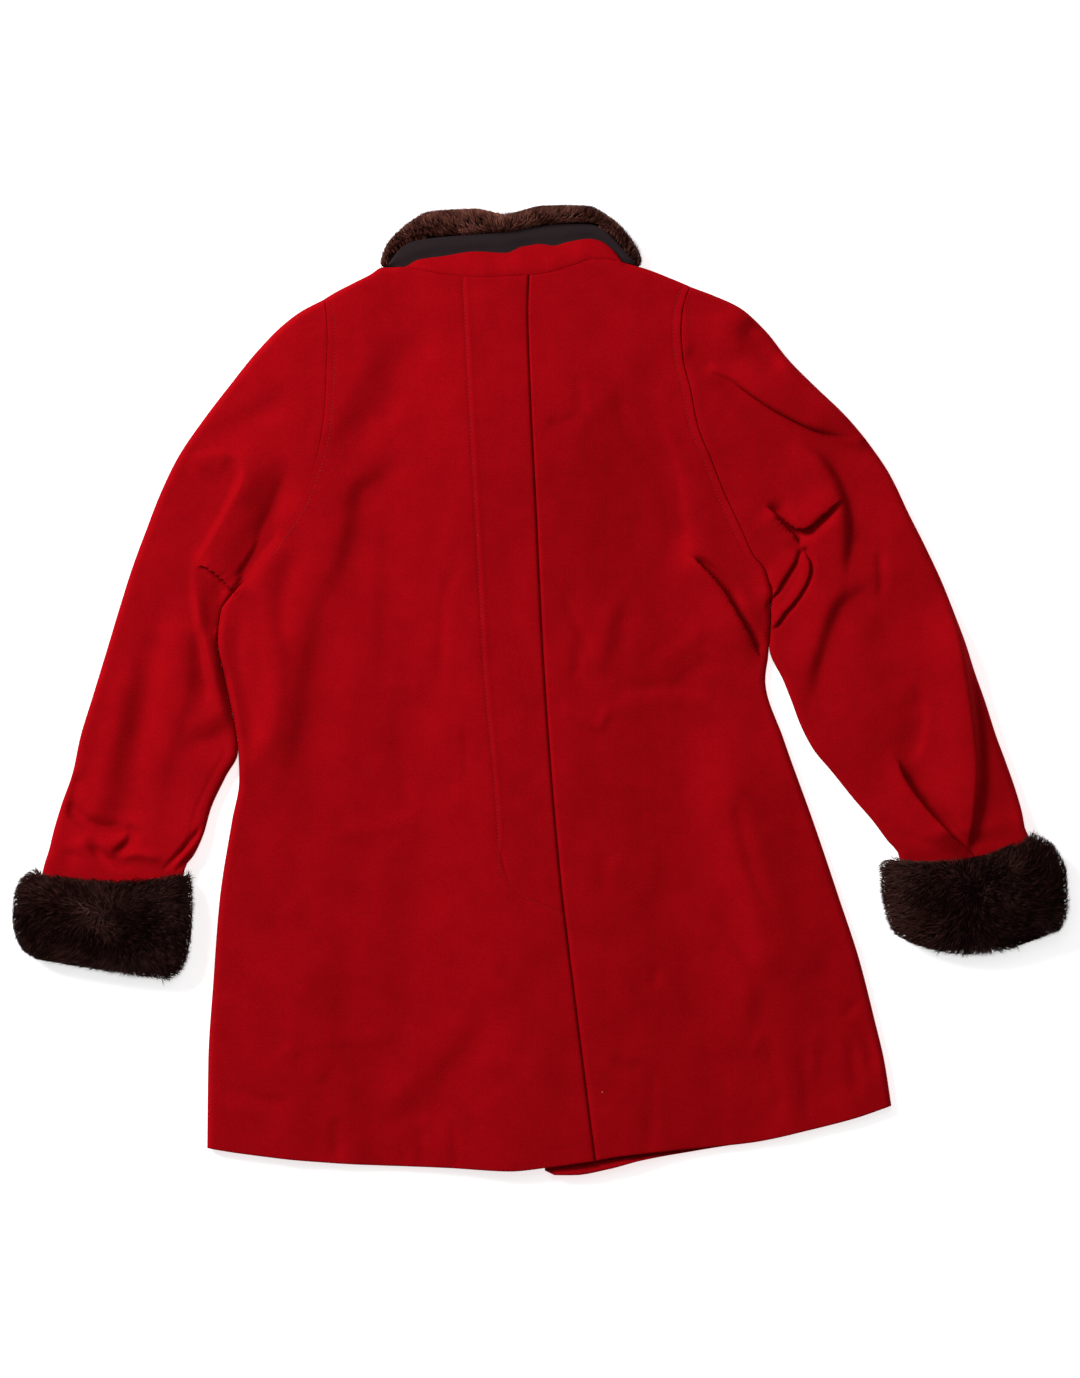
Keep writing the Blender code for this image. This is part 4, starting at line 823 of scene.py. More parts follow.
ARM_SEAM_IN, ARM_SEAM_DIP, ARM_SEAM_WIDTH = 13.0, 0.9, 1.5   # in from the inner edge, depth, width
ARM_SEAM_FROM, ARM_SEAM_OVER = -45.0, 20.0   # the left sleeve's under-arm seam shows below this height
SHOULDER_LAP = 0.5         # how far a sleeve's top laps the body at the shoulder


def resampled(rows, places, at):
    """The columns of a table at new places, on smooth curves through its rows at theirs."""
    return [curve(np.column_stack([places, column]), at) for column in np.asarray(rows, float).T]


def make_sleeve(side, line, tip_y, hem_y, shares, edge, lower_rows, toward, upper_side, cut):
    """One panel of a sleeve; toward is 1 where the body lies at higher x, and -1 at lower x."""
    shares, edge = np.array(shares), np.array(edge)
    free = np.array(lower_rows)
    count = len(shares)
    y_in = hem_y + (tip_y - hem_y) * shares
    x_in = curve(line, y_in) - toward * SIDE_GAP / 2
    x_out, y_out = (curve(edge[:, (0, column)], shares) for column in (1, 2))
    x_out[0] += toward * SHOULDER_LAP
    weight = 1 - smooth((shares - ARMHOLE_FROM) / (ARMHOLE_TO - ARMHOLE_FROM))
    at_body = np.column_stack([x_out, y_out, x_in, y_in, np.zeros(count), np.ones(count), weight])
    rows = np.concatenate([at_body, np.column_stack([free, np.ones(len(free))])])
    every = SLEEVE_EVERY if upper_side else SLEEVE_UNDER_EVERY
    steps = np.hypot(*np.diff((rows[:, 0:2] + rows[:, 2:4]) / 2, axis=0).T)
    run = np.concatenate([[0], np.cumsum(steps)])
    at = np.interp(np.linspace(0, run[-1], int(run[-1] / every)), run, np.arange(len(rows)))
    dense = np.column_stack(resampled(rows, np.arange(len(rows)), at))
    joined = at <= count - 1
    share = np.interp(at, np.arange(count), shares)
    dense[joined, 3] = (hem_y + (tip_y - hem_y) * share)[joined]
    dense[joined, 2] = (curve(line, dense[:, 3]) - toward * SIDE_GAP / 2)[joined]
    outer, inner, lift, of_folds, weight = np.split(dense, (2, 4, 5, 6), axis=1)
    length = np.hypot(*(inner - outer).T)[:, None]
    way_x, way_y = ((inner - outer) / length).T[:, :, None]
    reach = [np.full_like(length, step) for step in ROLL_STEPS]
    reach += between(reach[-1], length - ROLL, every)
    reach = np.concatenate(reach + [length - step for step in ROLL_STEPS[::-1]], axis=1)
    x, y = outer[:, :1] + way_x * reach, outer[:, 1:] + way_y * reach
    if upper_side:
        x, y = drawn_in(x, y)
    height = relief(x, y) * of_folds
    low = lift + neck_lift(x, y) + np.maximum(0.0, height - SLACK)
    base = lift + neck_lift(x, y, BACK_NECK_NONE) + LAYER + height
    left, right = reach, length - reach
    shape = rounding(left) * (1 - weight * (1 - rounding(right)))
    inset = CLOTH * (np.clip(1 - left / ROLL, 0, 1) - weight * np.clip(1 - right / ROLL, 0, 1))
    in_x, in_y = x + way_x * inset, y + way_y * inset
    middle = (low + base + CLOTH) / 2 + (GAP / 2 if upper_side else -GAP / 2)
    if upper_side:
        cap = CAP * np.exp(-((right - CAP_AT) / CAP_WIDTH) ** 2)
        cap = cap * seam_dip(x, y) / SEAM_DIP - seam_dip(x, y) * (1 - rounding(right, SEAM_WIDTH))
        dip = cap * (1 - weight)
        if side == "left":
            shown = smooth((ARM_SEAM_FROM - y) / ARM_SEAM_OVER)
            dip = dip - ARM_SEAM_DIP * np.exp(-((right - ARM_SEAM_IN) / ARM_SEAM_WIDTH) ** 2) * shown
        upper = tucked(x, y, points_at(x, y, middle + (base + CLOTH + dip - middle) * shape))
        lower = tucked(x, y, points_at(in_x, in_y, middle + (base - middle) * shape))
    else:
        lower = points_at(x, y, middle + (low - middle) * shape)
        upper = points_at(in_x, in_y, middle + (low + CLOTH - middle) * shape)
    turned = (slice(None, None, -1), slice(None, None, toward))
    panel = "back" if upper_side else "front"
    cloth_piece(f"{side}_sleeve_{panel}", lower[turned], upper[turned], x[turned], y[turned], WOOL,
                "red_wool", cut)


for upper_side in (True, False):
    make_sleeve("left", LEFT_SIDE, LEFT_TIP_Y, LEFT_HEM_Y, LEFT_SHARES, LEFT_OUTER, LEFT_LOWER, 1,
                upper_side, (0.19, 0.64))
    make_sleeve("right", RIGHT_SIDE, RIGHT_TIP_Y, RIGHT_HEM_Y, RIGHT_SHARES, RIGHT_OUTER, RIGHT_LOWER, -1,
                upper_side, (0.21, 0.66))

# The stitching that shows, in red thread: a single row beside each armhole, on the back, and one
# down the pleat from the neck to its curved end. Each stitch is a short soft rod on the wool.
STITCH_LONG, STITCH_PITCH, STITCH_RADIUS = 2.7, 3.6, 0.28
STITCH_PROUD = 0.4         # share of its radius by which a stitch's middle stands off the wool
STITCHED_LEFT, STITCHED_RIGHT, PLEAT_TOP = (374, 125), (386, 140), 393   # heights between which they run
ROUTE_STEPS, HOOK_STEPS = 60, 20
ABOVE = 0.1                # metres over the surface, above the whole coat
THREAD = cloth_look("red_thread", colour=(0.36, 0.003, 0.008), deep=(0.25, 0.001, 0.004),
                    lint=(0.36, 0.003, 0.008), thread=900, roughness=0.6, specular=0.3, sheen=0.0, bump=0.2)


def stitches(name, x, y, cloth):
    """A run of stitches along a route of x and y, laid on the cloth below it."""
    tree = BVHTree.FromPolygons([v.co for v in cloth.data.vertices],
                                [tuple(p.vertices) for p in cloth.data.polygons])
    run = np.concatenate([[0], np.cumsum(np.hypot(np.diff(x), np.diff(y)))])
    work = bmesh.new()
    thick = 2 * STITCH_RADIUS * MILLIMETRE
    for at in np.arange(STITCH_PITCH, run[-1] - STITCH_PITCH, STITCH_PITCH):
        ends = []
        for place in (at - STITCH_LONG / 2, at + STITCH_LONG / 2):
            start = Vector((*(np.interp(place, run, route) * MILLIMETRE for route in (x, y)), ABOVE))
            found = tree.ray_cast(start, Vector((0, 0, -1)))[0]
            ends.append(found + Vector((0, 0, STITCH_RADIUS * STITCH_PROUD * MILLIMETRE)))
        made = bmesh.ops.create_uvsphere(work, u_segments=6, v_segments=5, radius=0.5)["verts"]
        along = ends[1] - ends[0]
        bmesh.ops.scale(work, vec=(thick, thick, along.length), verts=made)
        turn = along.to_track_quat("Z", "Y").to_matrix()
        bmesh.ops.rotate(work, cent=(0, 0, 0), matrix=turn, verts=made)
        bmesh.ops.translate(work, vec=(ends[0] + ends[1]) / 2, verts=made)
    add_piece(name, finished_mesh(name, work), THREAD)


heights = np.linspace(*STITCHED_LEFT, ROUTE_STEPS)
stitches("left_armhole_stitching", left_line(heights) + STITCH_IN, heights, BACK_LEFT)
heights = np.linspace(*STITCHED_RIGHT, ROUTE_STEPS)
stitches("right_armhole_stitching", right_line(heights) - STITCH_IN, heights, BACK_RIGHT)
heights = np.linspace(PLEAT_TOP, HOOK_TOP, ROUTE_STEPS)
t = np.linspace(0.02, 1, HOOK_STEPS)
hook_x, hook_y = ((1 - t) ** 2 * p + 2 * t * (1 - t) * (2 * q - (p + r) / 2) + t * t * r
                  for p, q, r in zip(*PLEAT_HOOK))
stitches("pleat_stitching", np.append(seam_line(heights), hook_x), np.append(heights, hook_y), BACK_LEFT)

# The fur cuffs: rings of dark brown fur on the sleeves' ends. Each is a pelt round the sleeve with
# short dense hairs that lie outwards from its middle, and its tips reach the outline of the frame's
# solids.
SLIT_Z, CUFF_POWER, SLIT_POWER = 15.15, 2.7, 9.0   # middle of the sleeve's slit; squareness of sections
CUFF_SIDES, CUFF_ROWS, SLIT_ROWS = 72, 34, 10
# Rows across the sleeve: left x, y, right x, y, bow of the middle, lowest and highest z, and the slit's
# left x, right x and half height
LEFT_CUFF = ((-495, -174, -337, -176, -10, 5, 26, -483.5, -340.3, 3.3),
             (-503, -185, -335, -189, -5, 1.5, 34, -485, -342, 3.3),
             (-509, -204, -334, -209, 0, 0, 38, -488, -345, 3.3),
             (-510, -222, -335, -233, 0, 0, 38, -488, -348.5, 3.3),
             (-505, -243, -339, -255, 0, 0, 36, -486, -351.5, 3.3),
             (-490, -257, -346, -272, 0, 1.5, 31, -480, -356.5, 1.7),
             (-475, -263, -356, -281, 0, 5, 25, -468, -364, 1.7))
RIGHT_CUFF = ((337, -161, 482, -137, -15, 5, 26, 342, 475.5, 3.3),
              (328, -170, 498, -152, -6, 1.5, 34, 345, 483, 3.3),
              (328, -190, 510, -180, 0, 0, 38, 348.5, 491, 3.3),
              (332, -212, 511, -205, 0, 0, 38, 351, 494, 3.3),
              (339, -231, 506, -226, 0, 0, 36, 355, 494, 3.3),
              (358, -244, 489, -236, -3, 1.5, 31, 367, 480, 1.7),
              (380, -252, 465, -247, -6, 5, 25, 390, 456, 1.7))
PELT_IN, PELT_DOWN, PELT_END = 5.2, 4.5, 4.0   # how far it lies in from the tips: across, down, at ends
PELT_LEAST, SLIT_END = 4.2, 0.8   # its least half height, and share of PELT_END at the slit's ends
CUFF_HAIRS = 13500
FAN_ACROSS, FAN_ALONG, FAN_DOWN, FAN_CALM = 60, 55, 0.15, 0.35   # how the hairs fan out from its middle
SWIRL, SWIRL_SIZE = 1.1, 38                    # and turn from that, in swirls of this size
SLIT_HALF, STEEP, DOWNWARD, UNDER_SHARE = 3.6, 0.6, -0.5, 0.35   # where no hair grows, and where few do
HAIR_SPREAD, HAIR_LONG, HAIR_STAND = 0.22, (0.7, 1.15), (0.75, 1.1)   # how hairs differ from each other
HAIR_ROOT, HAIR_LEAN, FLOOR_CLEAR = 0.4, 0.35, 0.15
HAIR_SHAPE = ((0.0, 1.0), (0.45, 0.85), (1.0, 0.0))   # share along a hair, and its width there
HAIR_CORNERS = (math.pi / 2, math.pi * 7 / 6, math.pi * 11 / 6)
CLUMPS = (9, 27)                               # sizes of the clumps of paler and darker hairs


def oval(angle, power):
    """Across and up on a rounded rectangle of half sizes 1."""
    across, up = np.cos(angle), np.sin(angle)
    return (np.sign(across) * np.abs(across) ** (2 / power), np.sign(up) * np.abs(up) ** (2 / power))


def make_pelt(name, points, node):
    """A closed ring of skin, from a grid whose opposite edges meet, welded."""
    rows, columns = points.shape[:2]
    work = bmesh.new()
    bmesh.ops.create_grid(work, x_segments=columns - 1, y_segments=rows - 1, size=1)
    for vert, place in zip(work.verts, (points.reshape(-1, 3) * MILLIMETRE).tolist()):
        vert.co = place
    bmesh.ops.remove_doubles(work, verts=work.verts, dist=1e-6)
    bmesh.ops.recalc_face_normals(work, faces=work.faces)
    return add_piece(name, finished_mesh(name, work), PELT_LOOK, node)


def fur_look(name, dark, light, tip, root):
    """Fur whose colour changes from strand to strand and from root to tip."""
    look, tree, shader = new_look(name)
    look.diffuse_color = (*dark, 1)
    tone, along = (add_node(tree, "Attribute", attribute_name=called).outputs["Fac"]
                   for called in ("tone", "along"))
    strand = mixed(tree, tone, (*dark, 1), (*light, 1))
    ends = add_node(tree, "MapRange", {"Value": along, "From Min": 0.45, "From Max": 1.0, "To Max": 0.6})
    tipped = mixed(tree, ends.outputs[0], strand, (*tip, 1))
    deep = add_node(tree, "MapRange", {"Value": along, "From Min": 0.0, "From Max": 0.4})
    final = mixed(tree, deep.outputs[0], (*root, 1), tipped)
    tree.links.new(final, shader.inputs["Base Color"])
    set_inputs(shader, {"Roughness": 0.5, "Specular IOR Level": 0.02})
    return look


def read_back(items, name, width, kind):
    """One property of a mesh's items as rows of numbers."""
    found = np.zeros(len(items) * width, kind)
    items.foreach_get(name, found)
    return found.reshape(-1, width)


def make_fur(name, pelt, node, count, seed, long, stand, width, flow, weigh, look, tones, patches):
    """Strands on a pelt: each leaves it steeply and then lies along the flow, which is in the XY plane.

    tones are the least tone, how far it changes in clumps, and how pale the palest strands are;
    patches are the x, y, size and added tone of the places where the fur looks paler or darker.
    """
    rng = np.random.default_rng(seed)
    mesh = pelt.data
    mesh.calc_loop_triangles()
    spots = read_back(mesh.vertices, "co", 3, float) / MILLIMETRE
    normals = np.array([v.normal for v in mesh.vertices])
    corners = read_back(mesh.loop_triangles, "vertices", 3, int)
    a, b, c = (spots[corners[:, i]] for i in range(3))
    areas = np.linalg.norm(np.cross(b - a, c - a), axis=1) * weigh((a + b + c) / 3, normals[corners[:, 0]])
    chosen = rng.choice(len(areas), count, p=areas / areas.sum())
    r, s = np.sqrt(rng.random((count, 1))), rng.random((count, 1))
    shares = np.concatenate([1 - r, r * (1 - s), r * s], axis=1)[:, :, None]
    roots = (spots[corners[chosen]] * shares).sum(axis=1)
    up = (normals[corners[chosen]] * shares).sum(axis=1)
    up /= np.linalg.norm(up, axis=1)[:, None]
    way = flow(roots) + rng.normal(0, HAIR_SPREAD, (count, 3))
    way -= up * (way * up).sum(axis=1)[:, None]
    way /= np.linalg.norm(way, axis=1)[:, None]
    size = long * rng.uniform(*HAIR_LONG, (count, 1))
    rise = stand * rng.uniform(*HAIR_STAND, (count, 1))
    side = np.cross(way, up)
    rings, along = [], []
    for t, thick in HAIR_SHAPE:
        centre = (roots - up * HAIR_ROOT + up * rise * (1 - (1 - t) ** 2)
                  + way * size * (HAIR_LEAN * t + (1 - HAIR_LEAN) * t * t))
        for turn in HAIR_CORNERS if thick else HAIR_CORNERS[:1]:
            rings.append(centre + width * thick * (math.cos(turn) * side + math.sin(turn) * up))
            along.append(t)
    verts = np.stack(rings, axis=1)
    verts[:, :, 2] = np.maximum(verts[:, :, 2], FLOOR_CLEAR)
    per = len(along)
    one = np.array([(0, 1, 4), (0, 4, 3), (1, 2, 5), (1, 5, 4), (2, 0, 3), (2, 3, 5),
                    (3, 4, 6), (4, 5, 6), (5, 3, 6), (0, 2, 1)])
    faces = (one[None] + per * np.arange(count)[:, None, None]).reshape(-1, 3)
    made = bpy.data.meshes.new(name)
    made.from_pydata((verts.reshape(-1, 3) * MILLIMETRE).tolist(), [], faces.tolist())
    clump = sum(uneven(roots[:, 0], roots[:, 1], wide, wide, seed + i) for i, wide in enumerate(CLUMPS))
    tone = tones[0] + tones[1] * clump / len(CLUMPS) + tones[2] * rng.random(count) ** 5
    for x, y, across, paler in patches:
        gone = ((roots[:, 0] - x) ** 2 + (roots[:, 1] - y) ** 2) / across ** 2
        tone = tone + paler * np.exp(-gone) * rng.random(count) ** 2
    for called, values in (("tone", np.repeat(np.clip(tone, 0, 1), per)), ("along", np.tile(along, count))):
        made.attributes.new(called, "FLOAT", "POINT").data.foreach_set("value", values.astype(np.float32))
    return add_piece(name, made, look, node)


CUFF_FUR = fur_look("cuff_fur", dark=(0.0075, 0.0018, 0.0016), light=(0.22, 0.095, 0.08),
                    tip=(0.030, 0.007, 0.005), root=(0.003, 0.001, 0.0009))
SKIN = (0.006, 0.003, 0.0026)
PELT_LOOK = fur_look("pelt", dark=SKIN, light=SKIN, tip=SKIN, root=SKIN)


def make_cuff(side, stations, seed, patches):
    """The pelt and the hairs of one cuff."""
    rows = np.array(stations, float)
    at = np.linspace(0, len(rows) - 1, CUFF_ROWS)
    table = [column[:, None] for column in resampled(rows, np.arange(len(rows)), at)]
    left_x, left_y, right_x, right_y, bow, low, high, slit_left, slit_right, half = table
    angle = np.linspace(0, 2 * math.pi, CUFF_SIDES + 1)[None, :]
    end = (1 - 2 * at / at[-1])[:, None]
    pull = PELT_END * np.sign(end) * np.abs(end) ** 3

    def run(share):
        return left_y + (right_y - left_y) * share + 4 * share * (1 - share) * bow

    across, up = oval(angle, CUFF_POWER)
    share = 0.5 + 0.5 * across * (1 - PELT_IN / ((right_x - left_x) / 2))
    tall = np.maximum((high - low) / 2 - PELT_DOWN, PELT_LEAST)
    outer = points_at(left_x + (right_x - left_x) * share, run(share) - pull, (low + high) / 2 + up * tall)
    across, up = oval(angle, SLIT_POWER)
    x = (slit_left + slit_right) / 2 + across * (slit_right - slit_left) / 2
    share = (x - left_x) / (right_x - left_x)
    inner = points_at(x, run(share) - pull * SLIT_END, SLIT_Z + up * half)[::-1]
    inner = inner[np.linspace(0, CUFF_ROWS - 1, SLIT_ROWS).astype(int)]
    points = np.concatenate([outer, inner, outer[:1]], axis=0)
    points[:, -1] = points[:, 0]
    pelt = make_pelt(f"{side}_cuff_pelt", points, f"{side}_cuff")
    middle_x, middle_y = (rows[:, :2].mean(axis=0) + rows[:, 2:4].mean(axis=0)) / 2

    def flow(place):
        way_x = (place[:, 0] - middle_x) / FAN_ACROSS
        way_y = (place[:, 1] - middle_y) / FAN_ALONG - FAN_DOWN
        swirl = uneven(place[:, 0], place[:, 1], SWIRL_SIZE, SWIRL_SIZE, seed + 5) * SWIRL
        turned = points_at(way_x * np.cos(swirl) - way_y * np.sin(swirl),
                           way_x * np.sin(swirl) + way_y * np.cos(swirl), 0.0)
        return turned / (FAN_CALM + np.linalg.norm(turned, axis=1)[:, None])

    def weigh(place, normal):
        inside = (np.abs(place[:, 2] - SLIT_Z) < SLIT_HALF) & (np.abs(normal[:, 2]) > STEEP)
        return np.where(inside, 0.0, np.where(normal[:, 2] < DOWNWARD, UNDER_SHARE, 1.0))

    make_fur(f"{side}_cuff_hairs", pelt, f"{side}_cuff", CUFF_HAIRS, seed, 10.0, 4.6, 0.36, flow, weigh,
             CUFF_FUR, (0.04, 0.12, 0.5), patches)


make_cuff("left", LEFT_CUFF, 101, ((-434, -213, 5, 0.8), (-425, -224, 6, 0.9), (-417, -235, 6, 0.8),
                                   (-349, -214, 18, 0.5), (-367, -191, 18, 0.3), (-462, -259, 15, 0.35),
                                   (-425, -263, 17, 0.35), (-385, -268, 18, 0.35), (-358, -262, 14, 0.4),
                                   (-470, -214, 30, -0.4), (-385, -228, 18, -0.4)))
make_cuff("right", RIGHT_CUFF, 202, ((345, -185, 20, 0.5), (352, -215, 20, 0.45), (455, -171, 8, 0.8),
                                     (430, -196, 6, 0.6), (452, -202, 8, 0.5), (385, -243, 17, 0.4),
                                     (425, -249, 17, 0.35), (470, -143, 12, 0.25), (410, -205, 34, -0.4),
                                     (488, -185, 22, -0.4)))

# The turned-up collar. Its outside is the under collar of red wool, sewn to the neck; inside that a
# dark lining band shows, and then the fur, a ring that goes round under the neck.
UNDER_COLLAR_EDGE = ((-131, 407), (-116, 415), (-87, 418.5), (-65, 422), (-51, 421.7), (-39, 421),
                     (-31, 421.5), (-24, 424.5), (-17, 427.5), (0, 429), (14, 428), (24, 431), (34, 433),
                     (48, 434.3), (58, 432.4), (68, 426.3), (77, 416), (80, 411))
LINING_EDGE = ((-147, 409.5), (-141, 418), (-133, 427), (-121, 433), (-100, 436), (-75, 438), (-51, 440),
               (-34, 442), (-19, 444), (0, 447), (19, 449), (34, 449), (48, 448.4), (60, 444.5), (70, 436),
               (82, 422.5), (93, 410))
COLLAR_UNDERSIDE, LINING = 18.0, 1.2   # height of its underside at the edge, and the lining's thickness
LINING_TUCK, NECK_LAP, COLLAR_FINEST = 6.0, 0.5, 1.6
COLLAR_ARCH = 1.5          # how much the under collar bows between its edges
LINING_ARCH = ((0, 0.0), (1, 0.0), (2, 1.3), (3, 0.3))
LINING_EDGE_WIDTH, LINING_BEND = 0.8, 0.4
# How unevenly they lie: the height or the edge's swing, size of its humps, and seed
COLLAR_WAVES, COLLAR_WAVER = (0.35, 13, 32), (0.6, 14, 31)
LINING_WAVES, LINING_WAVER = (0.2, 12, 34), (0.5, 17, 33)
NECK_EASE = range(-16, 17, 4)   # places beside each over which the pleat's step is evened out
COLLAR_STEPS = (0.0, 0.02, 0.07, 0.15, 0.28, 0.42, 0.56, 0.7, 0.82, 0.91, 0.97, 1.0)
LINING_STEPS = (0.0, 0.12, 0.25, 0.4, 0.55, 0.7, 0.82, 0.92, 0.97, 1.0)
COLLAR_COLUMNS = 130
NECK_LINE = np.concatenate([NECK_LEFT, NECK_RIGHT[NECK_RIGHT[:, 0] > NECK_LEFT[:, 0].max() + CLOTH]])


def neck_y(x):
    """Where the back's cloth ends at the neck."""
    return np.interp(x, NECK_LINE[:, 0], curve(SHOULDERS, NECK_LINE[:, 0]))


def wavy(x, y, waves):
    """Uneven height or swing of a given size."""
    height, size, seed = waves
    return height * uneven(x, y, size, size, seed)


start, end = UNDER_COLLAR_EDGE[0][0] + 1, UNDER_COLLAR_EDGE[-1][0] - 1
x = np.linspace(start, end, COLLAR_COLUMNS)
neck = neck_y(x) - NECK_LAP
last = np.maximum(curve(UNDER_COLLAR_EDGE, x) + wavy(x, x * 0, COLLAR_WAVER), neck + COLLAR_FINEST)
share = np.array(COLLAR_STEPS)[:, None]
y = neck + (last - neck) * share
at_neck = [np.interp(x + step, NECK_LINE[:, 0], NECK_LINE[:, 2]) for step in NECK_EASE]
at_neck = sum(at_neck) / len(at_neck) - CLOTH
height = COLLAR_UNDERSIDE + (at_neck - COLLAR_UNDERSIDE) * (1 - smooth(share))
height = height + (COLLAR_ARCH + wavy(x, y, COLLAR_WAVES)) * np.sin(math.pi * share)
depth = np.minimum(np.minimum(y - neck, last - y), np.minimum(x - start, end - x))
thin = edge_shape(depth)
lower, upper = (points_at(x, y, height + CLOTH / 2 * (1 + face * thin)) for face in (-1, 1))
cloth_piece("under_collar", lower, upper, x, y, WOOL, "red_wool", (0.22, 0.035))

LINING_LOOK = cloth_look("dark_lining", colour=(0.020, 0.0118, 0.0132), deep=(0.014, 0.008, 0.0095),
                         lint=(0.3, 0.22, 0.2), thread=420, roughness=0.8, specular=0.12, sheen=0.04,
                         bump=0.25)
x = np.linspace(LINING_EDGE[0][0] + 1, LINING_EDGE[-1][0] - 0.5, COLLAR_COLUMNS)
first = np.maximum(curve(UNDER_COLLAR_EDGE, x) - LINING_TUCK, neck_y(x) + 2 * GAP)
turn = np.maximum(curve(UNDER_COLLAR_EDGE, x) + 1, first + LINING_BEND)
last = np.maximum(curve(LINING_EDGE, x) + wavy(x, x * 0, LINING_WAVER), turn + COLLAR_FINEST)
y = np.array([first] + [turn + (last - turn) * step for step in LINING_STEPS])
share = np.array([0] + [1 + 2 * step for step in LINING_STEPS])[:, None]
height = COLLAR_UNDERSIDE - GAP - LINING + curve(LINING_ARCH, share) + wavy(x, y, LINING_WAVES) * (share > 1)
thin = edge_shape(last - y, LINING_EDGE_WIDTH)
lower, upper = (points_at(x, y, height + LINING / 2 * (1 + face * thin)) for face in (-1, 1))
cloth_piece("collar_lining", lower, upper, x, y, LINING_LOOK, "dark_lining", (0.25, 0.03))

# Ring of the collar's fur: inner x, y, lip x, y where the lining ends, outer x, y, height at the lip, crest
FUR_RING = ((-33, 340, -34, 314, -35, 289, 11.5, 11.5), (-45, 341, -47, 312, -50, 288, 13.7, 13.7),
            (-77, 346, -87, 320, -97, 292, 13.7, 13.7), (-111, 362, -127, 338, -143, 314, 13.7, 13.7),
            (-121, 391, -139, 384, -157, 377, 13.7, 13.7), (-124, 403, -141, 402, -156, 400, 13.7, 13.7),
            (-118, 414, -143, 420, -150, 421.5, 16.1, 18), (-106, 416, -123, 435, -134, 445, 16.1, 24),
            (-87, 416, -94, 436, -105, 466, 16.1, 28), (-60, 414, -61, 438, -63, 468, 16.1, 30),
            (-34, 414, -34, 440, -34, 461, 16.1, 29), (0, 418, 2, 447, 5, 469, 16.1, 30),
            (32, 423, 39, 450, 44, 468, 16.1, 29), (54, 421, 66, 445, 71, 451, 16.1, 25),
            (63, 413, 84, 427, 89, 430, 16.1, 20), (66, 408, 91, 415, 95, 417, 16.0, 16.3),
            (68, 402, 83, 403, 98, 403, 13.7, 13.7),
            (63, 388, 81, 383, 99, 378, 13.7, 13.7), (53, 362, 69, 338, 85, 314, 13.7, 13.7),
            (19, 346, 29, 320, 39, 292, 13.7, 13.7), (-13, 341, -11, 312, -8, 288, 13.7, 13.7),
            (-25, 340, -24, 314, -23, 289, 11.5, 11.5))
# Section of its pelt: in which width, share across it, and height as shares of the lip's and the crest's
PELT_PROFILE = (("under", 0.25, 0.12, 0.0), ("under", 0.1, 0.45, 0.0), ("under", 0.14, 0.7, 0.0),
                ("under", 0.3, 0.86, 0.0), ("under", 0.6, 0.9, 0.0), ("outer", 0.0, 0.88, 0.0),
                ("outer", 0.15, 0.4, 0.42), ("outer", 0.3, 0.12, 0.68), ("outer", 0.45, 0.0, 0.8),
                ("outer", 0.6, 0.0, 0.74), ("outer", 0.72, 0.0, 0.6), ("outer", 0.76, 0.0, 0.4),
                ("outer", 0.68, 0.0, 0.2), ("outer", 0.4, 0.0, 0.1), ("under", 0.9, 0.0, 0.09),
                ("under", 0.5, 0.06, 0.02))
RING_STEPS, COLLAR_HAIRS = 150, 11500
PARTING, PARTING_WIDTH, SIDEWAYS = -32.0, 14, 0.55   # the centre seam, which the hairs lie away from
OUTWARD, OUTWARD_FROM, OUTWARD_GROWS = 0.75, 380, 0.006   # how they lie out over the collar's edge
HAIR_TUCK, FLAT, HIDDEN_SHARE = 2, 0.3, 0.22   # where the lining hides them, and how few grow underneath
rows = np.array(FUR_RING, float)
lengths = np.hypot(*np.diff(rows[:, 2:4], axis=0).T)
run = np.concatenate([[0], np.cumsum(lengths)])
ring = resampled(rows, run, np.linspace(0, run[-1], RING_STEPS))
inner, lip, outer = (np.stack(ring[i:i + 2], axis=-1) for i in (0, 2, 4))
columns = []
for width, share, of_lip, of_crest in PELT_PROFILE + PELT_PROFILE[:1]:
    place = inner + (lip - inner) * share if width == "under" else lip + (outer - lip) * share
    columns.append(points_at(*place.T, ring[6] * of_lip + ring[7] * of_crest))
points = np.stack(columns, axis=1)
first, last = (np.repeat(points[i].mean(axis=0)[None, None], len(columns), axis=1) for i in (0, -1))
collar_pelt = make_pelt("collar_pelt", np.concatenate([first, points, last], axis=0), "fur_collar")
COLLAR_FUR = fur_look("collar_fur", dark=(0.036, 0.0085, 0.0066), light=(0.40, 0.15, 0.105),
                      tip=(0.100, 0.026, 0.018), root=(0.014, 0.0035, 0.0028))


def collar_flow(place):
    """Hairs lie away from the collar's centre seam and out over its edge."""
    return points_at(np.tanh((place[:, 0] - PARTING) / PARTING_WIDTH) * SIDEWAYS,
                     OUTWARD + (place[:, 1] - OUTWARD_FROM) * OUTWARD_GROWS, 0.0)


def collar_weigh(place, normal):
    """Most hairs where the fur shows, and none under the lining band."""
    shown = place[:, 1] > curve(LINING_EDGE, place[:, 0]) - HAIR_TUCK
    return np.where(shown, 1.0, np.where(normal[:, 2] > FLAT, 0.0, HIDDEN_SHARE))


make_fur("collar_hairs", collar_pelt, "fur_collar", COLLAR_HAIRS, 303, 8.0, 4.0, 0.38, collar_flow,
         collar_weigh, COLLAR_FUR, (0.1, 0.32, 0.6),
         ((-32, 455, 4, -0.5), (-41, 449, 7, 0.7), (-14.5, 453, 9, 0.7), (-66, 445, 8, 0.5),
          (-88, 452, 14, -0.25), (25, 451, 12, 0.4), (54, 443, 9, 0.6)))

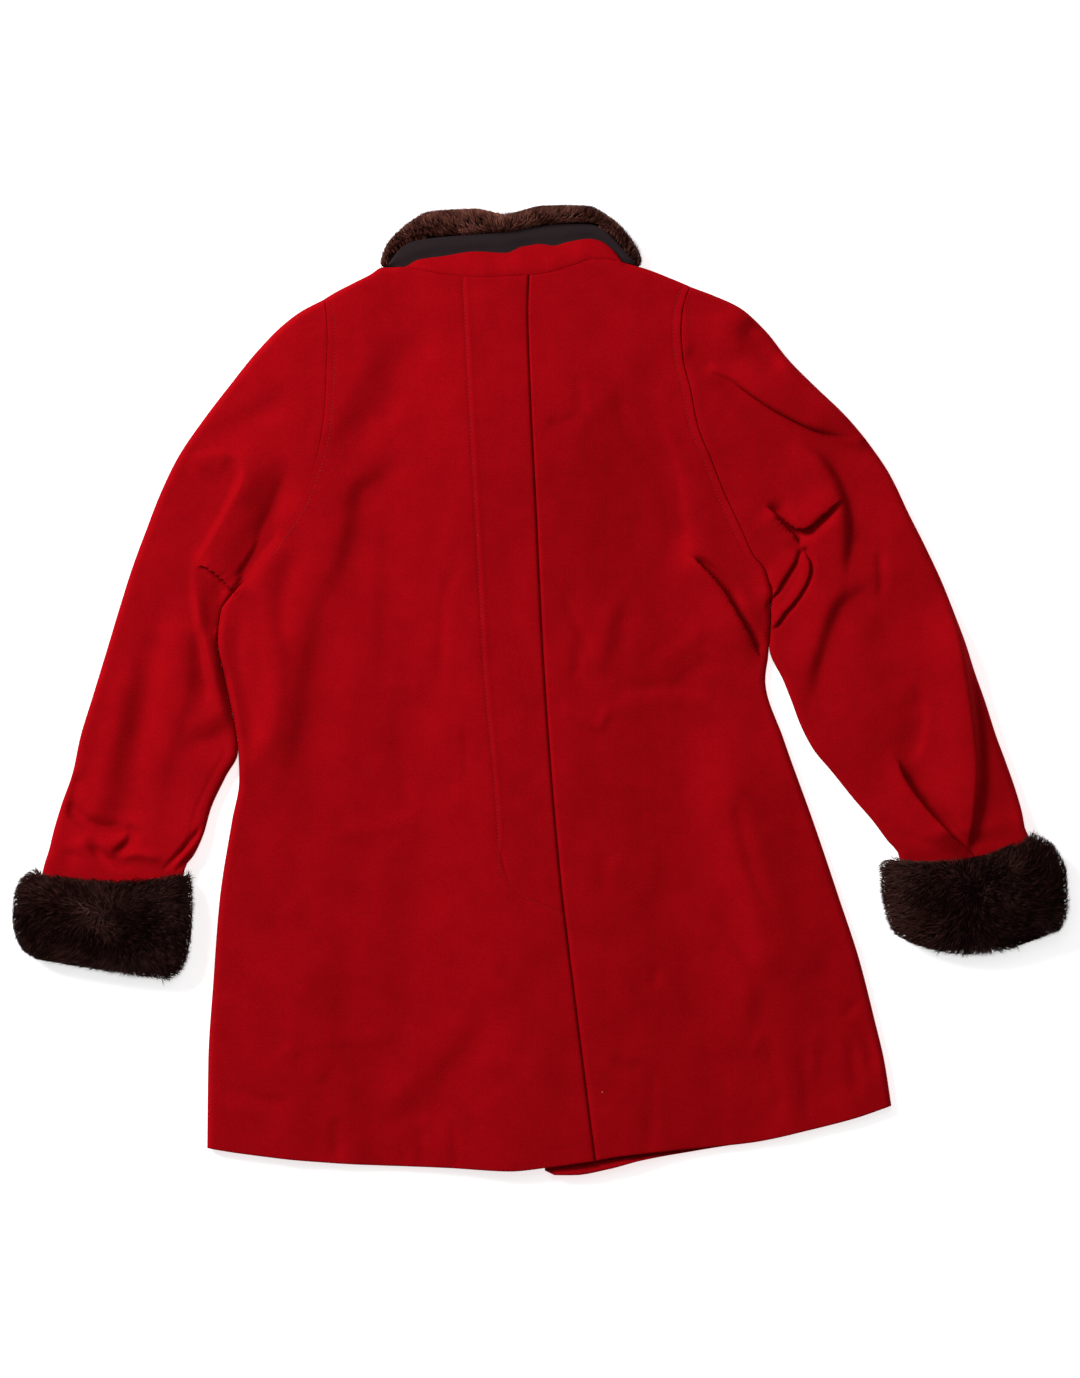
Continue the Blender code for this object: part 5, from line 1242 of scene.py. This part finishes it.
# The buttons: flat dark red horn discs with a rim, sewn on the right front's outside. They lie under
# the coat, face down on the surface, and only their stack shows as a slight rise.
BUTTON_IN = 30.0           # in from the right front's edge
BUTTON_YS = (212, 67, -69, -215)
# Half of a button's section: distance from its middle, height
BUTTON_SECTION = ((0.0, 0.7), (9.4, 0.7), (10.4, 0.25), (11.2, 0.0), (12.8, 0.0), (13.6, 0.3), (14.0, 1.1),
                  (13.6, 1.9), (12.8, 2.2), (0.0, 2.2))
BUTTON_SIDES, SHARP = 48, math.radians(50)
HORN, tree, shader = new_look("dark_horn")
place = add_node(tree, "TexCoord").outputs["Object"]
cloud = add_node(tree, "TexNoise", {"Vector": place, "Scale": 90, "Detail": 4, "Distortion": 1.2})
horn = mixed(tree, cloud.outputs["Fac"], (0.02, 0.004, 0.004, 1), (0.10, 0.012, 0.012, 1))
tree.links.new(horn, shader.inputs["Base Color"])
shader.inputs["Roughness"].default_value = 0.32
for i, y in enumerate(BUTTON_YS, 1):
    work = bmesh.new()
    profile = [work.verts.new((out, 0, up)) for out, up in BUTTON_SECTION]
    edges = [work.edges.new(pair) for pair in zip(profile, profile[1:])]
    bmesh.ops.spin(work, geom=profile + edges, cent=(0, 0, 0), axis=(0, 0, 1), angle=2 * math.pi,
                   steps=BUTTON_SIDES, use_merge=True)
    bmesh.ops.remove_doubles(work, verts=work.verts, dist=1e-4)
    bmesh.ops.recalc_face_normals(work, faces=work.faces)
    bmesh.ops.translate(work, vec=(float(curve(RIGHT_FRONT_EDGE, y)) + BUTTON_IN, y, 0), verts=work.verts)
    bmesh.ops.scale(work, vec=(MILLIMETRE,) * 3, verts=work.verts)
    mesh = finished_mesh(f"button_{i}_horn", work)
    add_piece(f"button_{i}_horn", mesh, HORN, f"button_{i}")
    mesh.set_sharp_from_angle(angle=SHARP)

# The white surface that the coat lies on, soft light from the upper left with a weak fill from above,
# and the camera straight above. The surface gives off light of its own, so that it shows as white.
FRAME_HEIGHT = 1.3346      # metres of the surface that the picture's height covers
LENS, SENSOR = 150.0, 36.0
FLOOR_HALF, FLOOR_DROP = 12.0, 0.0004
paper, _, shader = new_look("white_surface")
set_inputs(shader, {"Base Color": (0.93, 0.93, 0.93, 1), "Roughness": 0.95, "Specular IOR Level": 0.0,
                    "Emission Color": (1, 1, 1, 1), "Emission Strength": 0.7})
work = bmesh.new()
bmesh.ops.create_grid(work, x_segments=1, y_segments=1, size=FLOOR_HALF)
bmesh.ops.translate(work, vec=(0, 0, -FLOOR_DROP), verts=work.verts)
mesh = finished_mesh("surface", work)
mesh.materials.append(paper)
surface = bpy.data.objects.new("surface", mesh)
bpy.context.scene.collection.objects.link(surface)
surface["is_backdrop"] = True

for name, place, size, power in (("key_light", (-2.55, 2.0, 2.25), 1.4, 184),
                                 ("fill_light", (0.1, 0.6, 1.9), 1.0, 6)):
    light = bpy.data.lights.new(name, "AREA")
    light.shape, light.size, light.energy = "SQUARE", size, power
    lamp = bpy.data.objects.new(name, light)
    lamp.location = place
    lamp.rotation_euler = (-Vector(place)).to_track_quat("-Z", "Y").to_euler()
    bpy.context.scene.collection.objects.link(lamp)

world = bpy.data.worlds.new("studio")
world.use_nodes = True
set_inputs(world.node_tree.nodes["Background"], {"Color": (1, 1, 1, 1), "Strength": 0.16})
bpy.context.scene.world = world
bpy.context.scene.view_settings.view_transform = "Standard"

lens = bpy.data.cameras.new("camera")
lens.lens, lens.sensor_width = LENS, SENSOR
camera = bpy.data.objects.new("camera", lens)
camera.location = (0, 0, FRAME_HEIGHT * LENS / SENSOR)
bpy.context.scene.collection.objects.link(camera)
bpy.context.scene.camera = camera

low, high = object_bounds()
